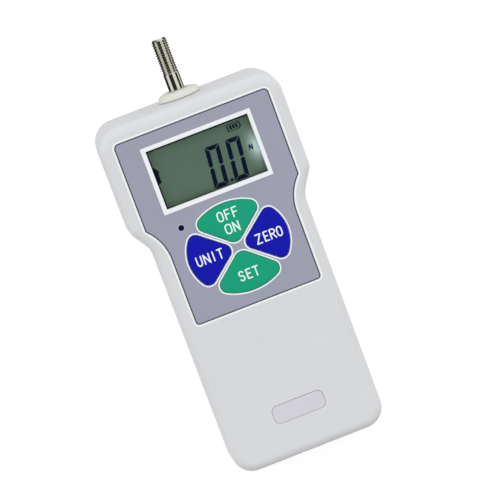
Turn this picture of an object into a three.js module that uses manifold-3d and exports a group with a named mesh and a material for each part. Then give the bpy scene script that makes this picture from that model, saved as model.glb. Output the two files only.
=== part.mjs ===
import * as THREE from 'three';
import { mergeVertices } from 'three/addons/utils/BufferGeometryUtils.js';
import Module from 'manifold-3d';

// Hand-held digital force gauge, in millimetres, lying on its back.
// x is its width, y runs from the foot to the measuring rod, z from the back to the front face.
// The origin is the centre of the back face.

const wasm = await Module();
wasm.setup();

// Housing outline, on the plane where the two shells meet
const bodyLength = 143;
const headWidth = 73;
const handleWidth = 61.5;
const bodyDepth = 35.5;
const seamShare = 0.5;
const headCornerRadius = 9;
const footCornerRadius = 8.5;
const shoulderTop = 31.2;
const shoulderBottom = 22;
const shoulderRadius = 5;
const waistRadius = 12;

// Housing walls
const wall = 2.5;
const faceWall = 3;
const edgeRadius = 4;
const innerChamfer = 1.5;
const leastCornerShare = 0.05;
const draftSlopeShare = 0.03;
const seamBevel = 0.2;
const tongueHeight = 1.4;
const tongueThickness = 1.05;
const tongueClearance = 0.2;
const ribThickness = 1.2;

// Clearances, and the overrun that every cut shares
const fitGap = 0.3;
const slimGap = 0.1;
const overrun = 1;
const mergeDistance = 0.0001;

// Panel on the front face
const panelThickness = 1;
const panelSunk = 0.1;
const panelTop = 65.3;
const panelHeadMargin = 5.85;
const panelFootMargin = 5.6;
const panelBelowKeys = 5.1;
const panelTopRadius = 1.9;
const panelFootRadius = 1.4;
const panelShoulderTop = 30.6;
const panelShoulderBottom = 17.4;
const panelShoulderRadius = 1.2;

// Display
const displayCentre = 47.15;
const bezelSideMargin = 8.75;
const bezelHeight = 26.5;
const bezelProud = 0.2;
const bezelSideBar = 1.65;
const bezelEndBar = 1.7;
const bezelSill = 0.5;
const windowOverlap = 0.6;
const windowThickness = 1.5;
const glassSideOverlap = 2.75;
const glassEndOverlap = 2.45;
const glassThickness = 2.2;
const holderWall = 1.1;
const holderSill = 2;
const holderOpeningHeight = 16;
const stripWidth = 2.2;
const stripInset = 3;
const stripOffset = 11;

// Keys: four petals round one centre
const keysBelowDisplay = 3.4;
const keyProud = 0.35;
const keyTravel = 0.4;
const keyNeckInset = 0.8;
const keyEdgeRadius = 0.35;
const keyLugReach = 0.9;
const keyLugWidth = 8;
const keyLugThickness = 0.8;
const keyGap = 0.15;
const plungerRadius = 2;
const endPetal = { gap: 0.67, halfAngle: 49.5, corner: 2.95, crown: 21.8, reach: 17.5, apex: 3.63 };
const sideShape = { gap: 0.8, halfAngle: 39.3, corner: 3.02, crown: 15.4, apex: 3.04 };
const panelBesideKeys = 5.29;
const endSwitchInset = 6.5;
const sideSwitchInset = 7.36;

// Main board and what is soldered to it
const boardThickness = 1.6;
const boardDropShare = 0.3662;
const boardTop = 66.2;
const boardBottom = -33;
const boardWallGap = 4.2;
const boardNotch = 9;
const switchSide = 6;
const switchTopGap = 1.2;
const switchBore = 1.7;
const stemRadius = 1.65;
const plungerLength = 0.9;
const chipSide = 10;
const chipHeight = 1.6;
const chipX = -6;
const chipY = 2;
const buzzerRadius = 6;
const buzzerTopGap = 1;
const buzzerPortRadius = 1.2;
const buzzerPortDepth = 2;
const buzzerX = -10;
const buzzerY = -18;
const connectorWidth = 8;
const connectorDepth = 5;
const connectorHeight = 3.4;
const sensorPlugInset = 9.75;
const sensorPlugY = 9.5;
const batteryPlugInset = 10.75;
const batteryPlugY = -4;

// Indicator beside the keys
const indicatorX = -17.8;
const indicatorY = 27.3;
const indicatorRadius = 0.95;
const indicatorFlangeRadius = 1.8;
const indicatorFlangeThickness = 0.9;
const ledWidth = 3.2;
const ledDepth = 1.6;
const ledHeight = 1.2;
const ledAirGap = 0.6;

// Sockets in the right-hand wall
const jackWidth = 9;
const jackUnderBore = 1.15;
const jackLength = 13.5;
const jackBoreRadius = 3.2;
const jackBoreDepth = 9;
const jackPinRadius = 1;
const portWidth = 7.7;
const portHeight = 3.9;
const portLength = 9;
const portWall = 0.6;
const portGap = 0.5;
const portDepth = 6;
const portY = -21;
const socketInset = 0.4;

// Battery pack: four cells side by side in a tray
const cellRadius = 5.2;
const cellLength = 43.5;
const cellPitch = 10.7;
const cellTipRadius = 2;
const cellTipLength = 1;
const cellCount = 4;
const trayFloor = 1.2;
const trayWall = 1.2;
const trayRise = 8.5;
const trayTop = -12.2;
const traySaddleThickness = 2;
const traySaddleShare = 0.65;
const traySaddleShares = [0.2, 0.8];
const trayRibHeight = 4;
const holdDownShares = [0.55, 0.88];

// Load cell, its bracket and the rod that it measures
const cellBlockWidth = 30;
const cellBlockLength = 38;
const cellBlockClearance = 0.65;
const cellBlockTop = 60;
const cellSlot = 1.5;
const cellSlotTop = 12.5;
const cellSlotReach = 23;
const cellPocketWidth = 14;
const cellPocketHeight = 7;
const cellPocketShare = 0.333;
const cellPocketRadius = 1.6;
const cellBoreDepth = 10.5;
const gaugeWidth = 8;
const gaugeHeight = 5;
const gaugeThickness = 0.25;
const bracketInsertGap = 2.5;
const bracketPlate = 2;
const bracketUpright = 4;
const bracketLength = 26;
const bracketFillet = 3;
const bracketSeat = 1.9;
const bracketScrewInset = 4.5;
const bracketScrewY = 36;
const bracketScrewLength = 4.6;
const bracketBossRadius = 3.6;
const boltRadius = 3;
const boltHeadInset = 1;
const boltHeadHeight = 5;
const boltGrip = 8.5;
const boltSocketRadius = 2.6;
const boltSocketDepth = 2.5;

// Measuring rod and the collar that it comes out of
const rodRadius = 3;
const rodProud = 20.55;
const rodTipChamfer = 0.7;
const rodTravel = 0.25;
const nutAcrossFlats = 10;
const nutHeight = 4;
const collarBaseRadius = 8.3;
const collarFaceRadius = 5.45;
const collarProud = 2.6;
const collarRim = 0.6;
const collarShoulderShare = 0.72;
const collarStandOff = 0.25;
const collarNeckRadius = 6;
const collarFlangeRadius = 7.6;
const collarFlangeThickness = 1.4;
const collarBoreRadius = 3.35;

// Nameplate recess, left bare
const plateWidth = 20.9;
const plateHeight = 7.5;
const plateCentre = -53.05;
const plateRadius = 2.3;
const plateRecess = 0.6;
const plateThickness = 0.5;

// Screws, posts and the threaded inserts in the back
const screwRadius = 1.5;
const screwHeadRadius = 2.9;
const screwHeadHeight = 2.2;
const screwCrossDepth = 1;
const screwCrossRadius = 1.3;
const screwCrossWidth = 0.65;
const housingCounterbore = 5.5;
const housingBite = 8;
const housingBossRadius = 4.4;
const housingPostRadius = 3.6;
const housingHeadOffset = 1;
const boardPostRadius = 3;
const boardScrewBite = 4.5;
const boardHeadPostInset = 7.5;
const boardHeadPostY = 40;
const boardFootPostInset = 8.75;
const boardFootPostY = -28.8;
const boardPinRadius = 1.4;
const insertRadius = 3;
const insertBoreRadius = 1.65;
const insertLength = 6.5;
const insertBoreDepth = 5.5;
const insertBossRadius = 4.4;
const insertInset = 10.75;
const insertTopY = 44;
const insertBottomY = -6;

// Leads inside the housing
const leadRadius = 1;
const leadStraight = 3;
const leadSides = 8;
const leadSteps = 14;

// Facets
const cornerSteps = 7;
const smallCornerSteps = 3;
const edgeSteps = 4;
const roundSides = 24;
const middleSides = 16;
const smallSides = 12;
const hexagonSides = 6;

// Levels along z, and positions that follow from the sizes above
const foot = -bodyLength / 2;
const head = bodyLength / 2;
const rearDepth = bodyDepth * seamShare;
const frontDepth = bodyDepth - rearDepth;
const ceiling = bodyDepth - faceWall;
const recessFloor = bodyDepth - panelThickness - panelSunk;
const panelFace = recessFloor + panelThickness;
const boardDrop = frontDepth * boardDropShare;
const boardUpper = ceiling - boardDrop;
const boardLower = boardUpper - boardThickness;
const axisHeight = rearDepth;
const panelHeadWidth = headWidth - 2 * panelHeadMargin;
const panelFootWidth = handleWidth - 2 * panelFootMargin;
const bezelWidth = panelHeadWidth - 2 * bezelSideMargin;
const viewWidth = bezelWidth - 2 * bezelSideBar;
const viewHeight = bezelHeight - 2 * bezelEndBar;
const glassWidth = viewWidth + 2 * glassSideOverlap;
const glassHeight = viewHeight + 2 * glassEndOverlap;
const sidePetal = { ...sideShape, reach: panelFootWidth / 2 - panelBesideKeys };
const keyCentre = displayCentre - bezelHeight / 2 - keysBelowDisplay - endPetal.reach;
const panelBottom = keyCentre - endPetal.reach - panelBelowKeys;
const keyTop = panelFace + keyProud;
const keyUnderside = recessFloor + keyTravel + slimGap;
const keyFoot = ceiling - slimGap - keyLugThickness;
const stemTop = keyFoot - plungerLength;
const switchHeight = stemTop - boardUpper - switchTopGap;
const endWallInner = head - wall;
const collarSeat = head + collarStandOff;
const rodTip = collarSeat + collarProud + rodProud;
const cellBlockBottom = cellBlockTop - cellBlockLength;
const cellBlockThickness = 2 * (boardLower - cellBlockClearance - axisHeight);
const cellPocketDepth = cellBlockThickness * cellPocketShare;
const boltHeadRadius = cellBlockThickness / 2 - boltHeadInset;
const nutRadius = nutAcrossFlats / 2 / Math.cos(Math.PI / hexagonSides);
const bracketBase = wall + bracketSeat;
const cellAxis = wall + trayFloor + cellRadius + 2 * slimGap;
const trayBottom = trayTop - cellLength - cellTipLength - 2 * (trayWall + slimGap);
const trayHalfWidth = (cellCount * cellPitch) / 2 + trayWall / 2;
const trayLength = trayTop - trayBottom;
const trayMiddle = (trayTop + trayBottom) / 2;
const jackY = trayTop + fitGap + jackWidth / 2;
const insertX = handleWidth / 2 - insertInset;
const bracketWidth = 2 * (insertX - insertRadius - bracketInsertGap);
const bracketScrewX = bracketWidth / 2 - bracketScrewInset;
const sensorPlugX = handleWidth / 2 - sensorPlugInset;
const batteryPlugX = batteryPlugInset - handleWidth / 2;

// Materials
const materials = {
	shell: new THREE.MeshStandardMaterial({ color: 0xd9dadc, roughness: 0.55, metalness: 0 }),
	panel: new THREE.MeshStandardMaterial({ color: 0x9ea0b2, roughness: 0.5, metalness: 0 }),
	bezel: new THREE.MeshStandardMaterial({ color: 0xf0f2f4, roughness: 0.4, metalness: 0 }),
	window: new THREE.MeshStandardMaterial({ color: 0xdfe8e4, roughness: 0.05, metalness: 0 }),
	glass: new THREE.MeshStandardMaterial({ color: 0x526b58, roughness: 0.25, metalness: 0 }),
	plate: new THREE.MeshStandardMaterial({ color: 0xd5d3da, roughness: 0.5, metalness: 0 }),
	greenKey: new THREE.MeshStandardMaterial({ color: 0x1caa7a, roughness: 0.45, metalness: 0 }),
	blueKey: new THREE.MeshStandardMaterial({ color: 0x1619b4, roughness: 0.45, metalness: 0 }),
	darkLens: new THREE.MeshStandardMaterial({ color: 0x15161c, roughness: 0.2, metalness: 0 }),
	collar: new THREE.MeshStandardMaterial({ color: 0xe2e4d8, roughness: 0.5, metalness: 0 }),
	steel: new THREE.MeshStandardMaterial({ color: 0xb4b6b8, roughness: 0.25, metalness: 1 }),
	zinc: new THREE.MeshStandardMaterial({ color: 0xa9adb0, roughness: 0.35, metalness: 1 }),
	aluminium: new THREE.MeshStandardMaterial({ color: 0xc8cbce, roughness: 0.35, metalness: 1 }),
	brass: new THREE.MeshStandardMaterial({ color: 0xb08d45, roughness: 0.3, metalness: 1 }),
	board: new THREE.MeshStandardMaterial({ color: 0x1f5b36, roughness: 0.5, metalness: 0 }),
	blackPlastic: new THREE.MeshStandardMaterial({ color: 0x1b1c1e, roughness: 0.5, metalness: 0 }),
	paleNylon: new THREE.MeshStandardMaterial({ color: 0xe6e2d6, roughness: 0.55, metalness: 0 }),
	foil: new THREE.MeshStandardMaterial({ color: 0xb9802f, roughness: 0.4, metalness: 0 }),
	rubber: new THREE.MeshStandardMaterial({ color: 0x2a2b2d, roughness: 0.8, metalness: 0 }),
	cellSleeve: new THREE.MeshStandardMaterial({ color: 0x2f6f9a, roughness: 0.45, metalness: 0 }),
	leadJacket: new THREE.MeshStandardMaterial({ color: 0x3a3c40, roughness: 0.6, metalness: 0 }),
};

const gauge = new THREE.Group();

function addPart(name, geometry, material, x = 0, y = 0, z = 0) {
	const mesh = new THREE.Mesh(geometry, material);
	mesh.name = name;
	mesh.position.set(x, y, z);
	gauge.add(mesh);
	return mesh;
}

// Solids: joining and cutting closed meshes

function plain(geometry) {
	const bare = new THREE.BufferGeometry();
	bare.setAttribute('position', geometry.getAttribute('position').clone());
	if (geometry.index) bare.setIndex(geometry.index.clone());
	return mergeVertices(bare, mergeDistance);
}

function toSolid(geometry) {
	const bare = plain(geometry);
	const vertProperties = new Float32Array(bare.getAttribute('position').array);
	const triVerts = new Uint32Array(bare.index.array);
	return new wasm.Manifold(new wasm.Mesh({ numProp: 3, vertProperties, triVerts }));
}

function toGeometry(solid) {
	const mesh = solid.getMesh();
	const geometry = new THREE.BufferGeometry();
	geometry.setAttribute('position', new THREE.BufferAttribute(new Float32Array(mesh.vertProperties), 3));
	geometry.setIndex(new THREE.BufferAttribute(new Uint32Array(mesh.triVerts), 1));
	geometry.computeVertexNormals();
	return geometry;
}

function joinAll(first, others) {
	return others.reduce((solid, other) => solid.add(toSolid(other)), first);
}

function cutAll(first, tools) {
	return tools.reduce((solid, tool) => solid.subtract(toSolid(tool)), first);
}

function build(base, { joins = [], cuts = [] }) {
	return toGeometry(cutAll(joinAll(toSolid(base), joins), cuts));
}

function onCircle(x, y, radius, angle) {
	return new THREE.Vector2(x + radius * Math.cos(angle), y + radius * Math.sin(angle));
}

// Outlines: a rounded polygon, its corners turning left, moved inwards by an inset

function roundedOutline(corners, inset = 0) {
	const count = corners.length;
	const sides = corners.map((corner, index) => {
		const next = corners[(index + 1) % count];
		const direction = new THREE.Vector2(next.x - corner.x, next.y - corner.y).normalize();
		const inward = new THREE.Vector2(-direction.y, direction.x);
		const start = new THREE.Vector2(corner.x, corner.y).addScaledVector(inward, inset);
		return { direction, inward, start };
	});
	const points = [];
	corners.forEach((corner, index) => {
		const before = sides[(index + count - 1) % count];
		const after = sides[index];
		const turn = before.direction.cross(after.direction);
		const between = after.start.clone().sub(before.start);
		const along = between.cross(after.direction) / turn;
		const vertex = before.start.clone().addScaledVector(before.direction, along);
		const convex = turn > 0;
		const least = corner.radius * leastCornerShare;
		const radius = convex ? Math.max(corner.radius - inset, least) : corner.radius + inset;
		const side = convex ? 1 : -1;
		const angle = Math.acos(THREE.MathUtils.clamp(before.direction.dot(after.direction), -1, 1));
		const reach = radius * Math.tan(angle / 2);
		const centre = vertex.clone().addScaledVector(before.direction, -reach);
		centre.addScaledVector(before.inward, side * radius);
		const from = Math.atan2(-side * before.inward.y, -side * before.inward.x);
		for (let step = 0; step <= corner.steps; step += 1) {
			const theta = from + (side * angle * step) / corner.steps;
			points.push(onCircle(centre.x, centre.y, radius, theta));
		}
	});
	return points;
}

function mirroredCorners(rightSide) {
	const leftSide = rightSide.map((corner) => ({ ...corner, x: -corner.x })).reverse();
	return [...rightSide, ...leftSide];
}

function rectangle(width, height, radius, steps, centreX = 0, centreY = 0) {
	const right = centreX + width / 2;
	const left = centreX - width / 2;
	const top = centreY + height / 2;
	const bottom = centreY - height / 2;
	return roundedOutline([
		{ x: left, y: bottom, radius, steps },
		{ x: right, y: bottom, radius, steps },
		{ x: right, y: top, radius, steps },
		{ x: left, y: top, radius, steps },
	]);
}

const bodyCorners = mirroredCorners([
	{ x: handleWidth / 2, y: foot, radius: footCornerRadius, steps: cornerSteps },
	{ x: handleWidth / 2, y: shoulderBottom, radius: waistRadius, steps: smallCornerSteps },
	{ x: headWidth / 2, y: shoulderTop, radius: shoulderRadius, steps: smallCornerSteps },
	{ x: headWidth / 2, y: head, radius: headCornerRadius, steps: cornerSteps },
]);

// The panel's waist is one wide concave arc, tangent to its lower sides
function panelOutline(inset = 0) {
	const step = Math.abs(panelHeadWidth - panelFootWidth) / 2;
	const rise = panelShoulderTop - panelShoulderBottom;
	const waist = (rise * rise + step * step) / (2 * step);
	const tangent = 2 * Math.atan2(step, rise);
	const span = waist * Math.tan(tangent / 2);
	return roundedOutline(mirroredCorners([
		{ x: panelFootWidth / 2, y: panelBottom, radius: panelFootRadius, steps: smallCornerSteps },
		{ x: panelFootWidth / 2, y: panelShoulderBottom + span, radius: waist, steps: cornerSteps },
		{ x: panelHeadWidth / 2, y: panelShoulderTop, radius: panelShoulderRadius, steps: smallCornerSteps },
		{ x: panelHeadWidth / 2, y: panelTop, radius: panelTopRadius, steps: smallCornerSteps },
	]), inset);
}

// A key's outline: two straight sides from a rounded apex, rounded corners and a crowned outer side
function petalOutline(petal, grow, turn) {
	const half = THREE.MathUtils.degToRad(petal.halfAngle);
	const gap = petal.gap - grow;
	const corner = petal.corner + grow;
	const crown = petal.crown + grow;
	const apexRadius = petal.apex + grow;
	const apexStart = gap / Math.sin(half);
	const crownCentre = petal.reach + grow - crown;
	const along = new THREE.Vector2(Math.sin(half), Math.cos(half));
	const inward = new THREE.Vector2(-Math.cos(half), Math.sin(half));
	const offset = new THREE.Vector2(0, apexStart - crownCentre).addScaledVector(inward, corner);
	const projected = offset.dot(along);
	const slack = offset.lengthSq() - (crown - corner) ** 2;
	const run = -projected + Math.sqrt(projected * projected - slack);
	const cornerCentre = new THREE.Vector2(0, apexStart).addScaledVector(along, run);
	cornerCentre.addScaledVector(inward, corner);
	const sideAngle = -half;
	const crownAngle = Math.atan2(cornerCentre.y - crownCentre, cornerCentre.x);
	const apexCentre = apexStart + apexRadius / Math.sin(half);
	const rightHalf = [];
	const sweep = (x, y, radius, from, to, steps) => {
		for (let step = 0; step <= steps; step += 1) {
			const theta = from + ((to - from) * step) / steps;
			rightHalf.push(onCircle(x, y, radius, theta));
		}
	};
	sweep(0, apexCentre, apexRadius, -Math.PI / 2, sideAngle, smallCornerSteps);
	sweep(cornerCentre.x, cornerCentre.y, corner, sideAngle, crownAngle, smallCornerSteps + 1);
	sweep(0, crownCentre, crown, crownAngle, Math.PI / 2, smallCornerSteps);
	const crownStart = rightHalf.length - smallCornerSteps - 1;
	rightHalf.splice(crownStart, 1);
	const leftHalf = rightHalf.slice(1, -1).reverse().map((point) => new THREE.Vector2(-point.x, point.y));
	const origin = new THREE.Vector2();
	const shift = new THREE.Vector2(0, keyCentre);
	return [...rightHalf, ...leftHalf].map((point) => point.rotateAround(origin, turn).add(shift));
}

// Closed solid through a run of rings that share one count of points
function loft(rings) {
	const count = rings[0].length;
	const positions = rings.flat().flatMap((point) => [point.x, point.y, point.z]);
	const faces = [];
	for (let ring = 0; ring < rings.length - 1; ring += 1) {
		for (let index = 0; index < count; index += 1) {
			const next = (index + 1) % count;
			const a = ring * count + index;
			const b = ring * count + next;
			faces.push(a, b, b + count, a, b + count, a + count);
		}
	}
	const cap = (ring, flip) => {
		const flat = rings[ring].map((point) => new THREE.Vector2(point.x, point.y));
		THREE.ShapeUtils.triangulateShape(flat, []).forEach(([a, b, c]) => {
			const base = ring * count;
			faces.push(...(flip ? [base + a, base + c, base + b] : [base + a, base + b, base + c]));
		});
	};
	cap(0, true);
	cap(rings.length - 1, false);
	const geometry = new THREE.BufferGeometry();
	geometry.setAttribute('position', new THREE.BufferAttribute(new Float32Array(positions), 3));
	geometry.setIndex(faces);
	return geometry;
}

function ringAt(outline, z) {
	return outline.map((point) => new THREE.Vector3(point.x, point.y, z));
}

function prism(outline, bottom, top, holes = []) {
	const shape = new THREE.Shape(outline);
	shape.holes = holes.map((hole) => new THREE.Path([...hole].reverse()));
	const geometry = new THREE.ExtrudeGeometry(shape, { depth: top - bottom, bevelEnabled: false });
	return geometry.translate(0, 0, bottom);
}

function post(radius, bottom, top, x = 0, y = 0, sides = smallSides) {
	const geometry = new THREE.CylinderGeometry(radius, radius, top - bottom, sides);
	return geometry.rotateX(Math.PI / 2).translate(x, y, (bottom + top) / 2);
}

function postAlongY(radius, from, to, x, z, sides = smallSides) {
	const geometry = new THREE.CylinderGeometry(radius, radius, to - from, sides);
	return geometry.translate(x, (from + to) / 2, z);
}

function postAlongX(radius, from, to, y, z, sides = smallSides) {
	const geometry = new THREE.CylinderGeometry(radius, radius, to - from, sides);
	return geometry.rotateZ(-Math.PI / 2).translate((from + to) / 2, y, z);
}

// A block centred on x and y, standing from bottom to top
function slab(width, height, bottom, top, x = 0, y = 0) {
	const geometry = new THREE.BoxGeometry(width, height, top - bottom);
	return geometry.translate(x, y, (bottom + top) / 2);
}

function postsAt(places, radius, bottom, top, sides = smallSides) {
	return places.map(({ x, y }) => post(radius, bottom, top, x, y, sides));
}

function turned(profile, sides = roundSides) {
	return new THREE.LatheGeometry(profile.map(([radius, y]) => new THREE.Vector2(radius, y)), sides);
}

// Housing shells

function draftInset(distance) {
	return draftSlopeShare * distance;
}

// Outer rings of one shell, from its outer face to the seam; sign is 1 for the front and -1 for the back
function outerRings(depth, sign) {
	const straight = depth - edgeRadius;
	const wallInset = draftInset(straight);
	const rings = [];
	for (let step = 0; step <= edgeSteps; step += 1) {
		const angle = (Math.PI / 2) * (step / edgeSteps);
		const inset = wallInset + edgeRadius * (1 - Math.sin(angle));
		const rise = straight + edgeRadius * Math.cos(angle);
		rings.push(ringAt(roundedOutline(bodyCorners, inset), rearDepth + sign * rise));
	}
	rings.push(ringAt(roundedOutline(bodyCorners, draftInset(seamBevel)), rearDepth + sign * seamBevel));
	rings.push(ringAt(roundedOutline(bodyCorners, seamBevel), rearDepth));
	return rings;
}

// Inner rings, from the seam to the inner face
function innerRings(rimInset, rimRise, depth, thickness, sign) {
	const innerDepth = depth - thickness;
	const wallInset = wall + draftInset(innerDepth - innerChamfer);
	return [
		ringAt(roundedOutline(bodyCorners, rimInset), rearDepth),
		ringAt(roundedOutline(bodyCorners, rimInset), rearDepth + rimRise),
		ringAt(roundedOutline(bodyCorners, wall), rearDepth + rimRise),
		ringAt(roundedOutline(bodyCorners, wallInset), rearDepth + sign * (innerDepth - innerChamfer)),
		ringAt(roundedOutline(bodyCorners, wallInset + innerChamfer), rearDepth + sign * innerDepth),
	];
}

// Screw places: one near each corner of the housing, on the corner's own centre line
const housingScrews = [-1, 1].flatMap((side) => [
	{
		x: side * (headWidth / 2 - headCornerRadius + housingHeadOffset),
		y: head - headCornerRadius + housingHeadOffset,
	},
	{
		x: side * (handleWidth / 2 - footCornerRadius + housingHeadOffset),
		y: foot + footCornerRadius - housingHeadOffset,
	},
]);
const headPosts = [-1, 1].map((side) => ({
	x: side * (headWidth / 2 - boardHeadPostInset),
	y: boardHeadPostY,
}));
const footPosts = [-1, 1].map((side) => ({
	x: side * (handleWidth / 2 - boardFootPostInset),
	y: boardFootPostY,
}));
const inserts = [insertTopY, insertBottomY].flatMap((y) => [-1, 1].map((side) => ({ x: side * insertX, y })));
const bracketScrews = [-1, 1].map((side) => ({ x: side * bracketScrewX, y: bracketScrewY }));
const boltHoleRadius = boltRadius + fitGap;
const screwHoleRadius = screwRadius + fitGap;
const jackAxis = rearDepth;
const portAxis = boardLower - portHeight / 2;

// The right-hand wall that the sockets face
function wallFace(z) {
	return handleWidth / 2 - draftInset(Math.abs(z - rearDepth));
}

const collarHole = postAlongY(
	collarNeckRadius + fitGap, endWallInner - collarFlangeRadius, head + overrun, 0, axisHeight, roundSides,
);
const jackHole = postAlongX(
	jackBoreRadius + fitGap, wallFace(jackAxis) - 2 * wall, headWidth / 2, jackY, jackAxis, roundSides,
);

const rearShell = () => {
	const outer = outerRings(rearDepth, -1);
	const inner = innerRings(wall - tongueThickness, tongueHeight, rearDepth, wall, -1);
	const root = wall / 2;
	const ribTop = wall + trayRibHeight;
	const sideRibX = trayHalfWidth + fitGap + ribThickness / 2;
	const endRibOffset = fitGap + ribThickness / 2;
	const joins = [
		...postsAt(housingScrews, housingBossRadius, root, rearDepth - slimGap, middleSides),
		...postsAt(inserts, insertBossRadius, root, insertLength + wall, middleSides),
		...postsAt(bracketScrews, bracketBossRadius, root, bracketBase),
		...[-1, 1].map((side) => slab(ribThickness, trayLength / 2, root, ribTop, side * sideRibX, trayMiddle)),
		...[trayTop + endRibOffset, trayBottom - endRibOffset].map((y) => (
			slab(trayHalfWidth, ribThickness, root, ribTop, 0, y)
		)),
	];
	const cuts = [
		...postsAt(housingScrews, screwHeadRadius + fitGap, -overrun, housingCounterbore, middleSides),
		...postsAt(housingScrews, screwHoleRadius, 0, rearDepth + overrun),
		...postsAt(inserts, insertRadius + fitGap, -overrun, insertLength + slimGap),
		...postsAt(bracketScrews, screwHoleRadius, root, rearDepth),
		collarHole,
		jackHole,
	];
	return build(loft([...outer, ...inner]), { joins, cuts });
};

const petals = {
	key_off_on: { shape: endPetal, turn: 0, material: 'greenKey' },
	key_unit: { shape: sidePetal, turn: Math.PI / 2, material: 'blueKey' },
	key_set: { shape: endPetal, turn: Math.PI, material: 'greenKey' },
	key_zero: { shape: sidePetal, turn: -Math.PI / 2, material: 'blueKey' },
};

// Holes through the panel, and the narrower ones through the shell under it
function keyHoles(grow, bottom, top) {
	return Object.values(petals).map(({ shape, turn }) => prism(petalOutline(shape, grow, turn), bottom, top));
}

const frontShell = () => {
	const outer = outerRings(frontDepth, 1);
	const rimInset = wall - tongueThickness - tongueClearance;
	const inner = innerRings(rimInset, tongueHeight + tongueClearance, frontDepth, faceWall, 1);
	const root = ceiling + faceWall / 2;
	const holdDownBottom = cellAxis + cellRadius + fitGap;
	const holdDownWidth = cellPitch * (cellCount - 1) + cellRadius;
	const joins = [
		...postsAt(housingScrews, housingPostRadius, rearDepth + slimGap, root, middleSides),
		...postsAt([...headPosts, ...footPosts], boardPostRadius, boardUpper, root),
		...postsAt(headPosts, boardPinRadius, boardLower - boardThickness / 2, root),
		...holdDownShares.map((share) => (
			slab(holdDownWidth, ribThickness, holdDownBottom, root, 0, trayTop - trayLength * share)
		)),
	];
	const windowMargin = 2 * (windowOverlap + fitGap);
	const windowHole = rectangle(
		viewWidth + windowMargin, viewHeight + windowMargin, fitGap, 1, 0, displayCentre,
	);
	const nameplateHole = rectangle(plateWidth, plateHeight, plateRadius, smallCornerSteps, 0, plateCentre);
	const portHoleHalf = portHeight / 2 + portGap;
	const portHole = slab(
		4 * wall, portWidth + 2 * portGap, portAxis - portHoleHalf, portAxis + portHoleHalf,
		wallFace(portAxis), portY,
	);
	const cuts = [
		prism(panelOutline(-fitGap), recessFloor, bodyDepth + overrun),
		prism(windowHole, ceiling - overrun, bodyDepth),
		...keyHoles(fitGap - keyNeckInset, ceiling - overrun, bodyDepth),
		post(indicatorRadius + fitGap, ceiling - overrun, bodyDepth, indicatorX, indicatorY),
		prism(nameplateHole, bodyDepth - plateRecess, bodyDepth + overrun),
		...postsAt(housingScrews, screwHoleRadius, rearDepth - overrun, rearDepth + housingBite + fitGap),
		...postsAt(footPosts, screwHoleRadius, boardLower, boardUpper + boardScrewBite + fitGap),
		collarHole,
		jackHole,
		portHole,
	];
	return build(loft([...outer, ...inner].reverse()), { joins, cuts });
};

addPart('rear_shell', rearShell(), materials.shell);
addPart('front_shell', frontShell(), materials.shell);

// Front panel, display bezel and window, bare nameplate

const indicatorHole = Array.from({ length: smallSides }, (unused, index) => (
	onCircle(indicatorX, indicatorY, indicatorRadius + fitGap, (2 * Math.PI * index) / smallSides)
));
const panelHoles = [
	rectangle(bezelWidth + 2 * keyGap, bezelHeight + 2 * keyGap, fitGap, 1, 0, displayCentre),
	indicatorHole,
	...Object.values(petals).map(({ shape, turn }) => petalOutline(shape, keyGap, turn)),
];
const overlay = prism(panelOutline(), 0, panelThickness, panelHoles);
addPart('panel_overlay', overlay, materials.panel, 0, 0, recessFloor);

const bezelThickness = panelThickness + bezelProud;
const viewOutline = rectangle(viewWidth, viewHeight, fitGap, 1);
const sillOutline = rectangle(viewWidth + 2 * bezelSill, viewHeight + 2 * bezelSill, fitGap, 1);
const bezel = build(prism(rectangle(bezelWidth, bezelHeight, fitGap, 1), 0, bezelThickness), {
	cuts: [
		prism(viewOutline, -overrun, bezelThickness + overrun),
		loft([
			ringAt(viewOutline, bezelThickness - bezelSill),
			ringAt(sillOutline, bezelThickness),
			ringAt(sillOutline, bezelThickness + overrun),
		]),
	],
});
addPart('display_bezel', bezel, materials.bezel, 0, displayCentre, recessFloor);

const windowOutline = rectangle(viewWidth + 2 * windowOverlap, viewHeight + 2 * windowOverlap, fitGap, 1);
const windowPane = prism(windowOutline, -windowThickness, 0);
addPart('display_window', windowPane, materials.window, 0, displayCentre, recessFloor);

const inlayOutline = rectangle(
	plateWidth - 2 * keyGap, plateHeight - 2 * keyGap, plateRadius - keyGap, smallCornerSteps,
);
const inlay = prism(inlayOutline, 0, plateThickness);
addPart('nameplate_inlay', inlay, materials.plate, 0, plateCentre, bodyDepth - plateRecess);

// Display module: glass in a holder, with the two rubber strips that join it to the board

const holderRise = boardDrop - slimGap;
const glassBottom = holderRise - slimGap - glassThickness;
const stripLength = glassWidth - 2 * stripInset;
const pocketWidth = glassWidth + 2 * fitGap;
const pocketHeight = glassHeight + 2 * fitGap;
const holder = build(slab(pocketWidth + 2 * holderWall, pocketHeight + 2 * holderWall, 0, holderRise), {
	cuts: [
		slab(pocketWidth, pocketHeight, glassBottom, holderRise + overrun),
		slab(glassWidth - 2 * holderSill, holderOpeningHeight, -overrun, holderRise),
		...[-1, 1].map((side) => (
			slab(stripLength + 2 * fitGap, stripWidth + 2 * fitGap, -overrun, holderRise, 0, side * stripOffset)
		)),
	],
});
addPart('lcd_holder', holder, materials.paleNylon, 0, displayCentre, boardUpper);
const glass = slab(glassWidth, glassHeight, 0, glassThickness);
addPart('lcd_glass', glass, materials.glass, 0, displayCentre, boardUpper + glassBottom);
[['contact_strip_lower', -1], ['contact_strip_upper', 1]].forEach(([name, side]) => {
	const strip = slab(stripLength, stripWidth, 0, glassBottom);
	addPart(name, strip, materials.rubber, 0, displayCentre + side * stripOffset, boardUpper);
});

// Keys: a petal cap in the panel, a neck through the shell, a lug under it and a plunger on the switch

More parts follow.
